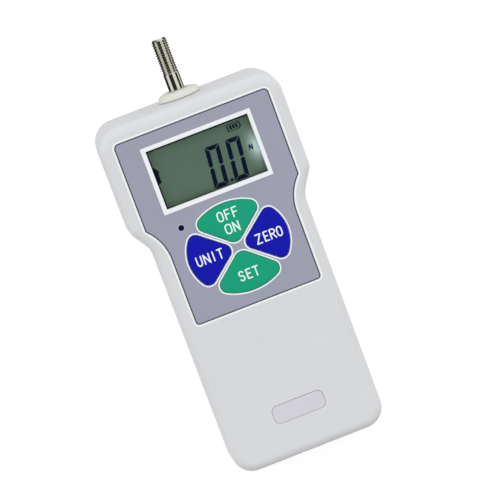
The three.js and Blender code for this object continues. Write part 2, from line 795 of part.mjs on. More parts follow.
function keyBody({ shape, turn }) {
	const rings = [ringAt(petalOutline(shape, 0, turn), keyUnderside)];
	for (let step = 0; step <= smallCornerSteps; step += 1) {
		const angle = (Math.PI / 2) * (step / smallCornerSteps);
		const inset = keyEdgeRadius * (1 - Math.cos(angle));
		const rise = keyEdgeRadius * Math.sin(angle);
		rings.push(ringAt(petalOutline(shape, -inset, turn), keyTop - keyEdgeRadius + rise));
	}
	const neckOutline = petalOutline(shape, -keyNeckInset, turn);
	const neck = prism(neckOutline, keyFoot, keyUnderside + panelThickness / 2);
	const neckEdge = shape.reach - keyNeckInset;
	const lug = slab(keyLugWidth, 2 * keyLugReach, keyFoot, keyFoot + keyLugThickness, 0, neckEdge)
		.rotateZ(turn).translate(0, keyCentre, 0);
	const { x, y } = switchPlace(shape, turn);
	const plunger = post(plungerRadius, stemTop, keyFoot + keyLugThickness, x, y);
	return build(loft(rings), { joins: [neck, lug, plunger] });
}

function switchPlace(shape, turn) {
	const offset = shape.reach - (shape === endPetal ? endSwitchInset : sideSwitchInset);
	return { x: -offset * Math.sin(turn), y: keyCentre + offset * Math.cos(turn) };
}

const stemBottom = switchHeight - switchBore + keyTravel + slimGap;
const switchBody = build(slab(switchSide, switchSide, 0, switchHeight), {
	cuts: [post(stemRadius + fitGap, switchHeight - switchBore, switchHeight + overrun)],
});
const switchStem = post(stemRadius, stemBottom, stemTop - boardUpper);
Object.entries(petals).forEach(([name, petal]) => {
	const { x, y } = switchPlace(petal.shape, petal.turn);
	const suffix = name.replace('key_', '');
	addPart(name, keyBody(petal), materials[petal.material]);
	addPart(`switch_body_${suffix}`, switchBody.clone(), materials.blackPlastic, x, y, boardUpper);
	addPart(`switch_stem_${suffix}`, switchStem.clone(), materials.paleNylon, x, y, boardUpper);
});

// Indicator: a light pipe held under the shell, over a small lamp on the board

const pipeTop = bodyDepth - slimGap;
const pipeBottom = boardUpper + ledHeight + ledAirGap;
const flangeTop = ceiling - slimGap;
const lightPipe = build(post(indicatorRadius, pipeBottom, pipeTop), {
	joins: [post(indicatorFlangeRadius, flangeTop - indicatorFlangeThickness, flangeTop)],
});
addPart('indicator_lens', lightPipe, materials.darkLens, indicatorX, indicatorY, 0);
const lamp = slab(ledWidth, ledDepth, 0, ledHeight);
addPart('indicator_led', lamp, materials.paleNylon, indicatorX, indicatorY, boardUpper);

// Main board, with notches round the rod's nut and the housing screws, and its components

const boardOutline = roundedOutline(mirroredCorners([
	{ x: handleWidth / 2, y: boardBottom - boardWallGap, radius: boardWallGap, steps: 1 },
	{ x: handleWidth / 2, y: shoulderBottom, radius: boardWallGap, steps: 1 },
	{ x: headWidth / 2, y: shoulderTop, radius: boardWallGap, steps: 1 },
	{ x: headWidth / 2, y: boardTop + boardWallGap, radius: boardWallGap, steps: 1 },
]), boardWallGap);
const board = build(prism(boardOutline, boardLower, boardUpper), {
	cuts: [
		slab(2 * (nutRadius + fitGap), 2 * (boardTop - cellBlockTop),
			boardLower - overrun, boardUpper + overrun, 0, boardTop),
		...[-1, 1].map((side) => (
			slab(2 * boardNotch, 2 * boardNotch, boardLower - overrun, boardUpper + overrun,
				side * (headWidth / 2 - boardWallGap), boardTop)
		)),
		...postsAt(headPosts, boardPinRadius + fitGap, boardLower - overrun, boardUpper + overrun),
		...postsAt(footPosts, screwHoleRadius, boardLower - overrun, boardUpper + overrun),
	],
});
addPart('main_board', board, materials.board);

const chip = slab(chipSide, chipSide, -chipHeight, 0);
addPart('processor_chip', chip, materials.blackPlastic, chipX, chipY, boardLower);

const buzzerHeight = boardDrop - buzzerTopGap;
const buzzer = build(post(buzzerRadius, 0, buzzerHeight, 0, 0, roundSides), {
	cuts: [post(buzzerPortRadius, buzzerHeight - buzzerPortDepth, buzzerHeight + overrun)],
});
addPart('buzzer', buzzer, materials.blackPlastic, buzzerX, buzzerY, boardUpper);

const connector = slab(connectorWidth, connectorDepth, -connectorHeight, 0);
addPart('sensor_connector', connector.clone(), materials.paleNylon, sensorPlugX, sensorPlugY, boardLower);
addPart('battery_connector', connector.clone(), materials.paleNylon, batteryPlugX, batteryPlugY, boardLower);

// Sockets, soldered under the board and facing out through the right-hand wall

const jackFace = wallFace(jackAxis) - wall - socketInset;
const jackFloor = jackFace - jackBoreDepth;
const jackBore = postAlongX(jackBoreRadius, jackFloor, jackFace + overrun, jackY, jackAxis, roundSides);
const jackPin = postAlongX(jackPinRadius, jackFloor - overrun, jackFace - socketInset, jackY, jackAxis);
const jackBlock = slab(
	jackLength, jackWidth, jackAxis - jackBoreRadius - jackUnderBore, boardLower,
	jackFace - jackLength / 2, jackY,
);
const jack = build(jackBlock, { cuts: [build(jackBore, { cuts: [jackPin] })] });
addPart('dc_jack', jack, materials.blackPlastic);

const portFace = wallFace(portAxis) - wall - socketInset;
const port = build(slab(portLength, portWidth, -portHeight / 2, portHeight / 2), {
	cuts: [
		slab(2 * portDepth, portWidth - 2 * portWall, portWall - portHeight / 2, portHeight / 2 - portWall,
			portLength / 2),
	],
});
addPart('data_port', port, materials.zinc, portFace - portLength / 2, portY, portAxis);

// Battery: cells in a saddled tray

const cellPlaces = Array.from({ length: cellCount }, (unused, index) => (
	(index - (cellCount - 1) / 2) * cellPitch
));
const trayWidth = 2 * trayHalfWidth;
const trayFloorTop = wall + trayFloor;
const traySaddleTop = trayFloorTop + cellRadius * traySaddleShare;
const tray = build(slab(trayWidth, trayLength, wall, trayFloorTop, 0, trayMiddle), {
	joins: [
		...[trayBottom + trayWall / 2, trayTop - trayWall / 2].map((y) => (
			slab(trayWidth, trayWall, wall, wall + trayRise, 0, y)
		)),
		...traySaddleShares.map((share) => (
			slab(trayWidth, traySaddleThickness, wall, traySaddleTop, 0, trayBottom + trayLength * share)
		)),
	],
	cuts: cellPlaces.map((x) => (
		postAlongY(cellRadius + slimGap, trayBottom + trayWall, trayTop - trayWall, x, cellAxis, middleSides)
	)),
});
addPart('battery_tray', tray, materials.blackPlastic);

const cellProfile = [
	[0, -cellLength / 2],
	[cellRadius, -cellLength / 2],
	[cellRadius, cellLength / 2],
	[cellTipRadius, cellLength / 2],
	[cellTipRadius, cellLength / 2 + cellTipLength],
	[0, cellLength / 2 + cellTipLength],
];
cellPlaces.forEach((x, index) => {
	const tipUp = index % 2 === 0;
	const y = trayMiddle + (tipUp ? -cellTipLength / 2 : cellTipLength / 2);
	const cell = turned(cellProfile, middleSides).rotateZ(tipUp ? 0 : Math.PI);
	addPart(`battery_cell_${index + 1}`, cell, materials.cellSleeve, x, y, cellAxis);
});

// Load cell: one block slotted from both sides, with a thin web where the strain is read

const halfBlock = cellBlockWidth / 2;
const upperSlot = cellBlockTop - cellSlotTop;
const lowerSlot = cellBlockBottom + cellSlotTop;
const blockOutline = [
	[-halfBlock, cellBlockBottom],
	[halfBlock, cellBlockBottom],
	[halfBlock, lowerSlot],
	[halfBlock - cellSlotReach, lowerSlot],
	[halfBlock - cellSlotReach, lowerSlot + cellSlot],
	[halfBlock, lowerSlot + cellSlot],
	[halfBlock, cellBlockTop],
	[-halfBlock, cellBlockTop],
	[-halfBlock, upperSlot],
	[-halfBlock + cellSlotReach, upperSlot],
	[-halfBlock + cellSlotReach, upperSlot - cellSlot],
	[-halfBlock, upperSlot - cellSlot],
].map(([x, y]) => new THREE.Vector2(x, y));
const blockMiddle = (cellBlockTop + cellBlockBottom) / 2;
const blockBack = axisHeight - cellBlockThickness / 2;
const blockFront = axisHeight + cellBlockThickness / 2;
const pocket = rectangle(
	cellPocketWidth, cellPocketHeight, cellPocketRadius, smallCornerSteps, 0, blockMiddle,
);
const loadCell = build(prism(blockOutline, blockBack, blockFront), {
	cuts: [
		prism(pocket, blockFront - cellPocketDepth, blockFront + overrun),
		prism(pocket, blockBack - overrun, blockBack + cellPocketDepth),
		postAlongY(boltHoleRadius, cellBlockTop - cellBoreDepth, cellBlockTop + overrun, 0, axisHeight),
		postAlongY(boltHoleRadius, cellBlockBottom - overrun, cellBlockBottom + boltGrip + fitGap, 0, axisHeight),
	],
});
addPart('load_cell', loadCell, materials.aluminium);

const gaugeFoil = slab(gaugeWidth, gaugeHeight, 0, gaugeThickness);
const gaugeFrontSeat = blockFront - cellPocketDepth;
const gaugeBackSeat = blockBack + cellPocketDepth - gaugeThickness;
addPart('strain_gauge_front', gaugeFoil.clone(), materials.foil, 0, blockMiddle, gaugeFrontSeat);
addPart('strain_gauge_back', gaugeFoil.clone(), materials.foil, 0, blockMiddle, gaugeBackSeat);

const uprightBack = cellBlockBottom - bracketUpright;
const bracketProfile = [
	[uprightBack, bracketBase],
	[uprightBack + bracketLength, bracketBase],
	[uprightBack + bracketLength, bracketBase + bracketPlate],
	[cellBlockBottom + bracketFillet, bracketBase + bracketPlate],
	[cellBlockBottom, bracketBase + bracketPlate + bracketFillet],
	[cellBlockBottom, blockFront - slimGap],
	[uprightBack, blockFront - slimGap],
].map(([y, z]) => new THREE.Vector2(y, z));
const bracketBlank = prism(bracketProfile, -bracketWidth / 2, bracketWidth / 2)
	.rotateX(Math.PI / 2).rotateZ(Math.PI / 2);
const bracket = build(bracketBlank, {
	cuts: [
		postAlongY(boltHoleRadius, uprightBack - overrun, cellBlockBottom + overrun, 0, axisHeight),
		...postsAt(bracketScrews, screwHoleRadius, bracketBase - overrun, bracketBase + bracketPlate + overrun),
	],
});
addPart('sensor_bracket', bracket, materials.zinc);

// Fasteners

const socketBolt = build(turned([
	[0, 0],
	[boltHeadRadius, 0],
	[boltHeadRadius, boltHeadHeight],
	[boltRadius, boltHeadHeight],
	[boltRadius, boltHeadHeight + bracketUpright + boltGrip],
	[0, boltHeadHeight + bracketUpright + boltGrip],
], smallSides), {
	cuts: [postAlongY(boltSocketRadius, -overrun, boltSocketDepth, 0, 0, hexagonSides)],
});
addPart('sensor_bolt', socketBolt, materials.steel, 0, uprightBack - boltHeadHeight, axisHeight);

// A pan-head screw with its seat at zero and its shank pointing up the z axis
function panScrew(length) {
	const screw = turned([
		[0, -screwHeadHeight],
		[screwHeadRadius, -screwHeadHeight],
		[screwHeadRadius, 0],
		[screwRadius, 0],
		[screwRadius, length],
		[0, length],
	], smallSides).rotateX(Math.PI / 2);
	const slotBottom = screwCrossDepth - screwHeadHeight;
	const slot = slab(2 * screwCrossRadius, screwCrossWidth, -screwHeadHeight - overrun, slotBottom);
	return build(screw, { cuts: [slot, slot.clone().rotateZ(Math.PI / 2)] });
}

const housingScrew = panScrew(rearDepth - housingCounterbore + housingBite);
housingScrews.forEach(({ x, y }, index) => {
	addPart(`housing_screw_${index + 1}`, housingScrew.clone(), materials.zinc, x, y, housingCounterbore);
});
const boardScrew = panScrew(boardThickness + boardScrewBite);
footPosts.forEach(({ x, y }, index) => {
	addPart(`board_screw_${index + 1}`, boardScrew.clone(), materials.zinc, x, y, boardLower);
});
const bracketScrew = panScrew(bracketScrewLength).rotateX(Math.PI);
const bracketTop = bracketBase + bracketPlate;
bracketScrews.forEach(({ x, y }, index) => {
	addPart(`bracket_screw_${index + 1}`, bracketScrew.clone(), materials.zinc, x, y, bracketTop);
});

const insert = build(post(insertRadius, 0, insertLength), {
	cuts: [post(insertBoreRadius, -overrun, insertBoreDepth)],
});
inserts.forEach(({ x, y }, index) => {
	addPart(`mount_insert_${index + 1}`, insert.clone(), materials.brass, x, y, 0);
});

// Measuring rod, its lock nut and the collar

const rodInnerEnd = cellBlockTop - cellBoreDepth + rodTravel + slimGap;
const rodProfile = [
	[0, rodInnerEnd],
	[rodRadius - rodTipChamfer, rodInnerEnd],
	[rodRadius, rodInnerEnd + rodTipChamfer],
	[rodRadius, rodTip - rodTipChamfer],
	[rodRadius - rodTipChamfer, rodTip],
	[0, rodTip],
];
addPart('measuring_rod', turned(rodProfile), materials.steel, 0, 0, axisHeight);

const nutBottom = cellBlockTop + rodTravel + slimGap;
const nut = build(postAlongY(nutRadius, 0, nutHeight, 0, 0, hexagonSides), {
	cuts: [postAlongY(boltHoleRadius, -overrun, nutHeight + overrun, 0, 0, roundSides)],
});
addPart('rod_lock_nut', nut, materials.zinc, 0, nutBottom, axisHeight);

const collarFlangeTop = endWallInner - fitGap;
const collarShoulderRadius = collarFaceRadius + (collarBaseRadius - collarFaceRadius) * collarShoulderShare;
const collarProfile = [
	[collarBoreRadius, collarFlangeTop - collarFlangeThickness],
	[collarFlangeRadius, collarFlangeTop - collarFlangeThickness],
	[collarFlangeRadius, collarFlangeTop],
	[collarNeckRadius, collarFlangeTop],
	[collarNeckRadius, collarSeat],
	[collarBaseRadius, collarSeat],
	[collarBaseRadius, collarSeat + collarRim],
	[collarShoulderRadius, collarSeat + collarProud * collarShoulderShare],
	[collarFaceRadius, collarSeat + collarProud],
	[collarBoreRadius, collarSeat + collarProud],
	[collarBoreRadius, collarFlangeTop - collarFlangeThickness],
];
addPart('rod_collar', turned(collarProfile), materials.collar, 0, 0, axisHeight);

// Leads

function lead(name, points) {
	const route = points.map((point) => new THREE.Vector3(...point));
	const extrudePath = new THREE.CatmullRomCurve3(route, false, 'centripetal');
	const section = new THREE.Shape(Array.from({ length: leadSides }, (unused, side) => (
		onCircle(0, 0, leadRadius, (2 * Math.PI * side) / leadSides)
	)));
	const tube = new THREE.ExtrudeGeometry(section, { steps: leadSteps, extrudePath, bevelEnabled: false });
	addPart(name, tube, materials.leadJacket);
}

const plugHeight = boardLower - connectorHeight / 2;
const sensorEntry = sensorPlugY + connectorDepth / 2 + slimGap;
lead('sensor_lead', [
	[halfBlock + slimGap, cellBlockBottom + 2 * leadStraight, axisHeight],
	[halfBlock + slimGap + leadRadius, cellBlockBottom + 2 * leadStraight, axisHeight],
	[sensorPlugX, cellBlockBottom + leadStraight / 2, (axisHeight + plugHeight) / 2],
	[sensorPlugX, sensorEntry + leadStraight, plugHeight],
	[sensorPlugX, sensorEntry, plugHeight],
]);
const batteryEntry = batteryPlugY - connectorDepth / 2 - slimGap;
const trayExit = [cellPlaces[0], trayTop - trayWall / 2, wall + trayRise + slimGap];
lead('battery_lead', [
	trayExit,
	[trayExit[0], trayExit[1], trayExit[2] + leadStraight],
	[
		(trayExit[0] + batteryPlugX) / 2,
		(trayExit[1] + batteryEntry) / 2,
		(trayExit[2] + plugHeight + leadStraight) / 2,
	],
	[batteryPlugX, batteryEntry - leadStraight, plugHeight],
	[batteryPlugX, batteryEntry, plugHeight],
]);

export default gauge;
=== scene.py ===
import math

import bmesh
import bpy
from mathutils import Matrix, Vector


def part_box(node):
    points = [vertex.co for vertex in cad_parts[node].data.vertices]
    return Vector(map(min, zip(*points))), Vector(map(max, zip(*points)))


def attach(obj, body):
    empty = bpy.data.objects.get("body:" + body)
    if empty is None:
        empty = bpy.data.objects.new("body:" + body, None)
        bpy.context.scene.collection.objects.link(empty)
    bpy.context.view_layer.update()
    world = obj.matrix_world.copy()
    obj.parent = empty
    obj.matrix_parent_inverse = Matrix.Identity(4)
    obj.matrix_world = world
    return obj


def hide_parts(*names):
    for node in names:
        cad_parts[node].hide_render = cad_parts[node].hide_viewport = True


# Digital force gauge, lying on its back: x across, y from the foot to the rod, z out of the face.
# Sizes in the dictionaries are millimetres, the studio's apart, and every mesh is made in metres.
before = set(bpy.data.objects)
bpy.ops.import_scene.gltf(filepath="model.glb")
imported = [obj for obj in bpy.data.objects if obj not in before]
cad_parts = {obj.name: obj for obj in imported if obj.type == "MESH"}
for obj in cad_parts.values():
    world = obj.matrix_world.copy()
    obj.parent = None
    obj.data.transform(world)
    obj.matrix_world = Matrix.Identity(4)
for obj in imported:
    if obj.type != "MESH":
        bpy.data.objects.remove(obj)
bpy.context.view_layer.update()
mm = 0.001
# how far a cutter reaches past what it cuts, in millimetres
past = 1
cornerSigns = ((-1, -1), (1, -1), (1, 1), (-1, 1))
print("frame loaded:", len(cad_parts), "nodes")


# a dictionary whose values can be read as its attributes
class Sizes(dict):
    __getattr__ = dict.__getitem__


def newPiece(name, mesh):
    piece = bpy.data.objects.new(name, mesh)
    bpy.context.scene.collection.objects.link(piece)
    return piece


def bake(piece):
    depsgraph = bpy.context.evaluated_depsgraph_get()
    mesh = bpy.data.meshes.new_from_object(piece.evaluated_get(depsgraph))
    old = piece.data
    piece.modifiers.clear()
    piece.data = mesh
    bpy.data.meshes.remove(old)
    return piece


def loftPiece(name, rings, loop=False):
    mesh = bpy.data.meshes.new(name)
    shape = bmesh.new()
    rows = [[shape.verts.new(Vector(point) * mm) for point in ring] for ring in rings]
    for lower, upper in zip(rows, rows[1:] + rows[:1] if loop else rows[1:]):
        for index in range(len(lower)):
            after = (index + 1) % len(lower)
            shape.faces.new((lower[index], lower[after], upper[after], upper[index]))
    if not loop:
        shape.faces.new(rows[0][::-1])
        shape.faces.new(rows[-1])
    bmesh.ops.recalc_face_normals(shape, faces=shape.faces)
    shape.to_mesh(mesh)
    shape.free()
    return newPiece(name, mesh)


# rows are pairs of an outline and its height
def stackPiece(name, rows, loop=False):
    return loftPiece(name, [[(x, y, z) for x, y in outline] for outline, z in rows], loop)


def sidewaysPiece(name, rows):
    return loftPiece(name, [[(x, y, z) for y, z in outline] for outline, x in rows])


def prismPiece(name, outline, bottom, top):
    return stackPiece(name, [(outline, bottom), (outline, top)])


def ringPiece(name, first, second, bottom, top):
    return stackPiece(name, [(first, bottom), (second, bottom), (second, top), (first, top)], True)


def turnedPiece(name, profile, sides, loop=False):
    axis = housing.seam
    rings = [[(x, y, z) for x, z in circle(radius, sides, 0, axis)] for radius, y in profile]
    return loftPiece(name, rings, loop)


def combine(piece, tools, operation):
    for tool in tools:
        step = piece.modifiers.new(operation, "BOOLEAN")
        step.operation = operation
        step.solver = "MANIFOLD"
        step.object = tool
    bake(piece)
    for tool in tools:
        bpy.data.objects.remove(tool)
    return piece


def joined(name, parts):
    mesh = bpy.data.meshes.new(name)
    shape = bmesh.new()
    for part in parts:
        shape.from_mesh(part.data)
        bpy.data.objects.remove(part)
    shape.to_mesh(mesh)
    shape.free()
    return newPiece(name, mesh)


def placed(piece, slotName, *nodes, body="housing", finish=None, angle=32):
    piece.data.shade_smooth()
    piece.data.set_sharp_from_angle(angle=math.radians(angle))
    weighted = piece.modifiers.new("weighted", "WEIGHTED_NORMAL")
    weighted.keep_sharp = True
    bake(piece)
    piece.data.materials.clear()
    piece.data.materials.append(finishes[finish or slotName])
    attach(piece, body)
    if nodes:
        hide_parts(*nodes)


def arcPoints(x, y, radius, start, end, steps):
    angles = [start + (end - start) * step / steps for step in range(steps + 1)]
    return [(x + radius * math.cos(angle), y + radius * math.sin(angle)) for angle in angles]


def circle(radius, sides, x=0, y=0):
    return arcPoints(x, y, radius, 0, 2 * math.pi, sides)[:-1]


# corners are x, y, radius and steps, and an inset draws them in, to the least share of a radius
def roundedOutline(corners, inset=0.0, least=0.05):
    sides = []
    for (x, y, radius, steps), following in zip(corners, corners[1:] + corners[:1]):
        direction = Vector((following[0] - x, following[1] - y)).normalized()
        inward = Vector((-direction.y, direction.x))
        sides.append((direction, inward, Vector((x, y)) + inward * inset))
    points = []
    for index, (x, y, cornerRadius, steps) in enumerate(corners):
        (before, beforeIn, beforeStart), (after, afterIn, afterStart) = sides[index - 1], sides[index]
        turn = before.cross(after)
        vertex = beforeStart + before * ((afterStart - beforeStart).cross(after) / turn)
        side = 1 if turn > 0 else -1
        radius = max(cornerRadius - side * inset, cornerRadius * least)
        angle = math.acos(max(-1.0, min(1.0, before.dot(after))))
        centre = vertex - before * radius * math.tan(angle / 2) + beforeIn * side * radius
        start = math.atan2(-side * beforeIn.y, -side * beforeIn.x)
        points += arcPoints(centre.x, centre.y, radius, start, start + side * angle, steps)
    return points


def mirrored(rightSide):
    return rightSide + [(-x, y, radius, steps) for x, y, radius, steps in reversed(rightSide)]


def rectangleOutline(width, height, radius, steps, x=0.0, y=0.0):
    return roundedOutline([(x + a * width / 2, y + b * height / 2, radius, steps)
                           for a, b in cornerSigns])


# sizes that more than one piece shares
housing = Sizes(
    length=143, headWidth=73, handleWidth=61.5, depth=35.5, seam=17.75,
    headCorner=9, footCorner=8.5, shoulderTop=31.2, shoulderBottom=22,
    shoulderRadius=5, waistRadius=12, wall=2.5, faceWall=3, edge=4,
    innerChamfer=1.5, draft=0.03, seamBevel=0.2, tongue=1.05, tongueHeight=1.4,
    tongueClearance=0.2, cornerSteps=22, edgeSteps=12, rim=0.16, neckRadius=6.3,
    neckDepth=10.1,
)
levels = Sizes(
    recessFloor=34.4, panelFace=35.4, ceiling=32.5, keyTop=35.75, keyUnderside=34.9,
    keyFoot=31.6, stemTop=30.7, lcdFace=32.3,
)
panel = Sizes(
    top=65.3, bottom=-9.6, headWidth=61.3, footWidth=50.3, topRadius=1.9,
    footRadius=1.4, shoulderTop=30.6, shoulderBottom=17.4, shoulderRadius=1.2,
    edge=0.1, gap=0.1, keyClearance=0.13, border=0.3, bead=0.75, beadRise=0.05,
    beadSteps=8, beadRoot=0.4, beadSink=0.01, slack=0.02, bezelClearance=0.06, bezelCorner=0.2,
)
display = Sizes(
    y=47.15, bezel=(43.8, 26.5), view=(40.5, 23.1), glass=(46, 28), proud=0.2, viewShift=0.12,
    sill=0.22, edge=0.08, windowOverlap=0.6, windowThickness=1.5, windowBevel=0.05,
    # the mask's widths and shift also paint the recess's shade at the left and top
    glassThickness=2.2, glassBevel=0.1, mask=(0.225, 0.45), maskShift=(0.475, -0.38),
    maskThickness=0.03, opening=0.9, openingCorner=0.3,
)
keys = Sizes(
    y=13, edgeRadius=0.35, dome=0.1, domeReach=2.2, neckInset=0.8, lugReach=0.9,
    lugWidth=8, lugThickness=0.8, plungerRadius=2, outline=0.52, printRise=0.015,
    printDepth=0.05, shrink=0.17, steps=6, neckClearance=0.3, lugCorner=0.3, overlap=0.5,
)
endPetal = Sizes(gap=0.67, halfAngle=49.5, corner=2.95, crown=21.8, reach=17.5, apex=3.63)
sidePetal = Sizes(gap=0.8, halfAngle=39.3, corner=3.02, crown=15.4, reach=19.86, apex=3.04)
petals = {  # shape, turn and how far the switch is from the centre
    "key_off_on": (endPetal, 0, 11), "key_unit": (sidePetal, 90, 12.5),
    "key_set": (endPetal, 180, 11), "key_zero": (sidePetal, -90, 12.5),
}
indicator = Sizes(x=-17.65, y=27.3, radius=1.12, ring=0.3, clearance=0.04, hole=0.3)
plate = Sizes(
    y=-53.05, width=20.7, height=7.25, radius=2.3, recess=0.6, thickness=0.5,
    clearance=0.15, edge=0.08,
)
sockets = Sizes(
    jack=(-7.4, 17.75), jackRadius=3.5, jackInside=25.7, port=(-21, 22.45), portSize=(8.7, 4.9, 0.5),
    portInside=25.6, outside=36, sides=48,
)
fasteners = Sizes(
    screws=[(28.5, 63.5), (23.25, -64), (-28.5, 63.5), (-23.25, -64)], counterbore=5.5,
    counterboreRadius=3.2, counterboreFlare=0.3, bore=1.8, boreTop=26.05, bossRadius=4.4,
    bossGap=0.1, postRadius=3.6, insertFlare=0.25, postSides=32, holeSides=40,
    inserts=[(-20, 44), (20, 44), (-20, -6), (20, -6)], insertRadius=3.3, insertLength=6.6,
    insertBoss=9, bracket=[(-10, 36), (10, 36)], bracketPost=4.4,
    boardPosts=[(29, 40), (-29, 40), (22, -28.8), (-22, -28.8)], boardPostRadius=3, boardPost=26,
)
head, foot = housing.length / 2, -housing.length / 2


def bodyOutline(inset):
    halfHandle, halfHead = housing.handleWidth / 2, housing.headWidth / 2
    steps = housing.cornerSteps
    return roundedOutline(mirrored([
        (halfHandle, foot, housing.footCorner, steps),
        (halfHandle, housing.shoulderBottom, housing.waistRadius, steps // 2),
        (halfHead, housing.shoulderTop, housing.shoulderRadius, steps // 2),
        (halfHead, head, housing.headCorner, steps),
    ]), inset)


def panelOutline(inset):
    step = (panel.headWidth - panel.footWidth) / 2
    rise = panel.shoulderTop - panel.shoulderBottom
    waist = (rise * rise + step * step) / (2 * step)
    span = waist * math.tan(math.atan2(step, rise))
    return roundedOutline(mirrored([
        (panel.footWidth / 2, panel.bottom, panel.footRadius, 8),
        (panel.footWidth / 2, panel.shoulderBottom + span, waist, 24),
        (panel.headWidth / 2, panel.shoulderTop, panel.shoulderRadius, 8),
        (panel.headWidth / 2, panel.top, panel.topRadius, 10),
    ]), inset)


# a key's outline: an apex at the centre of the four, two rounded corners and a crown
def petalOutline(petal, grow, turn):
    half = math.radians(petal.halfAngle)
    gap, corner = petal.gap - grow, petal.corner + grow
    crown, apexRadius = petal.crown + grow, petal.apex + grow
    apexStart = gap / math.sin(half)
    crownCentre = petal.reach + grow - crown
    along, inward = Vector((math.sin(half), math.cos(half))), Vector((-math.cos(half), math.sin(half)))
    offset = Vector((0, apexStart - crownCentre)) + inward * corner
    projected = offset.dot(along)
    run = -projected + math.sqrt(projected ** 2 - offset.length_squared + (crown - corner) ** 2)
    centre = Vector((0, apexStart)) + along * run + inward * corner
    crownAngle = math.atan2(centre.y - crownCentre, centre.x)
    right = arcPoints(0, apexStart + apexRadius / math.sin(half), apexRadius, -math.pi / 2, -half, 10)
    right += arcPoints(centre.x, centre.y, corner, -half, crownAngle, 14)
    right += arcPoints(0, crownCentre, crown, crownAngle, math.pi / 2, 14)[1:]
    c, s = math.cos(math.radians(turn)), math.sin(math.radians(turn))
    outline = right + [(-x, y) for x, y in reversed(right[1:-1])]
    return [(x * c - y * s, x * s + y * c + keys.y) for x, y in outline]


def petalCutters(grow, bottom, top):
    return [prismPiece("cutter", petalOutline(petal, grow, turn), bottom, top)
            for petal, turn, reach in petals.values()]


def displayOutline(part, grow=0.0, growUp=None, corner=0.12, x=0.0, y=0.0):
    (width, height), rise = display[part], grow if growUp is None else growUp
    return rectangleOutline(width + 2 * grow, height + 2 * rise, corner, 3, x, display.y + y)


def plateOutline(inset):
    return rectangleOutline(plate.width - 2 * inset, plate.height - 2 * inset, plate.radius - inset,
                            12, 0, plate.y)


def indicatorCircle(grow, sides=40):
    return circle(indicator.radius + grow, sides, indicator.x, indicator.y)


def fromScreen(red, green, blue):
    values = [value / 255 for value in (red, green, blue)]
    return [v / 12.92 if v <= 0.04045 else ((v + 0.055) / 1.055) ** 2.4 for v in values] + [1.0]


# a value in a node tree, so that its sums read as plain arithmetic
class Term:
    def __init__(self, socket):
        self.socket = socket

    def __add__(self, other):
        return calc("ADD", self, other)

    def __sub__(self, other):
        return calc("SUBTRACT", self, other)

    def __rsub__(self, other):
        return calc("SUBTRACT", other, self)

    def __mul__(self, other):
        return calc("MULTIPLY", self, other)

    def __truediv__(self, other):
        return calc("DIVIDE", self, other)


def fillNode(node, entries):
    for entry, value in entries.items():
        if isinstance(value, Term):
            node.id_data.links.new(value.socket, node.inputs[entry])
        else:
            node.inputs[entry].default_value = value


def newNode(tree, kind, entries=None, output=0, **settings):
    node = tree.nodes.new(kind if "Node" in kind else "ShaderNode" + kind)
    for setting, value in settings.items():
        setattr(node, setting, value)
    fillNode(node, entries or {})
    return Term(node.outputs[output])


def calc(operation, first, second=0.0, clamp=False):
    tree = (first if isinstance(first, Term) else second).socket.id_data
    return newNode(tree, "Math", {0: first, 1: second}, operation=operation, use_clamp=clamp)


def eachOutput(term):
    return [Term(socket) for socket in term.socket.node.outputs]


def newPaint(name):
    material = bpy.data.materials.new(name)
    material.use_nodes = True
    return material, material.node_tree, material.node_tree.nodes["Principled BSDF"]


grainInputs = {
    "Colour": (0.5, 0.5, 0.5, 1), "Shade": (0.4, 0.4, 0.4, 1), "Spread": 0.3, "Roughness": 0.5,
    "Roughness spread": 0.1, "Fine scale": 3000, "Broad scale": 60,
}


# colour, gloss and height that vary with a fine and a broad noise
def grainGroup(name, stretch):
    group = bpy.data.node_groups.new(name, "ShaderNodeTree")
    for label, value in grainInputs.items():
        kind = "NodeSocketColor" if isinstance(value, tuple) else "NodeSocketFloat"
        group.interface.new_socket(label, in_out="INPUT", socket_type=kind).default_value = value
    for label, kind in (("Colour", "Color"), ("Roughness", "Float"), ("Height", "Float")):
        group.interface.new_socket(label, in_out="OUTPUT", socket_type="NodeSocket" + kind)
    given = {socket.name: Term(socket) for socket in group.nodes.new("NodeGroupInput").outputs}
    place = newNode(group, "TexCoord", output="Object")
    place = newNode(group, "Mapping", {"Vector": place, "Scale": stretch})
    fine, broad = [
        newNode(group, "TexNoise", {"Vector": place, "Scale": given[size], "Detail": detail}, "Fac")
        for size, detail in (("Fine scale", 2), ("Broad scale", 4))
    ]
    fillNode(group.nodes.new("NodeGroupOutput"), {
        "Colour": blended(group, broad * given["Spread"], given["Colour"], given["Shade"]),
        "Roughness": (fine - 0.5) * given["Roughness spread"] + given["Roughness"],
        "Height": fine,
    })
    return group


def blended(tree, share, first, second):
    return newNode(tree, "Mix", {"Factor": share, 6: first, 7: second}, 2, data_type="RGBA")


def mixedSurface(tree, share, first, second):
    mixed = newNode(tree, "MixShader", {0: share, 1: first, 2: second})
    fillNode(tree.nodes["Material Output"], {"Surface": mixed})


mouldGrain = grainGroup("mouldGrain", (1, 1, 1))
drawnGrain = grainGroup("drawnGrain", (1, 0.06, 1))

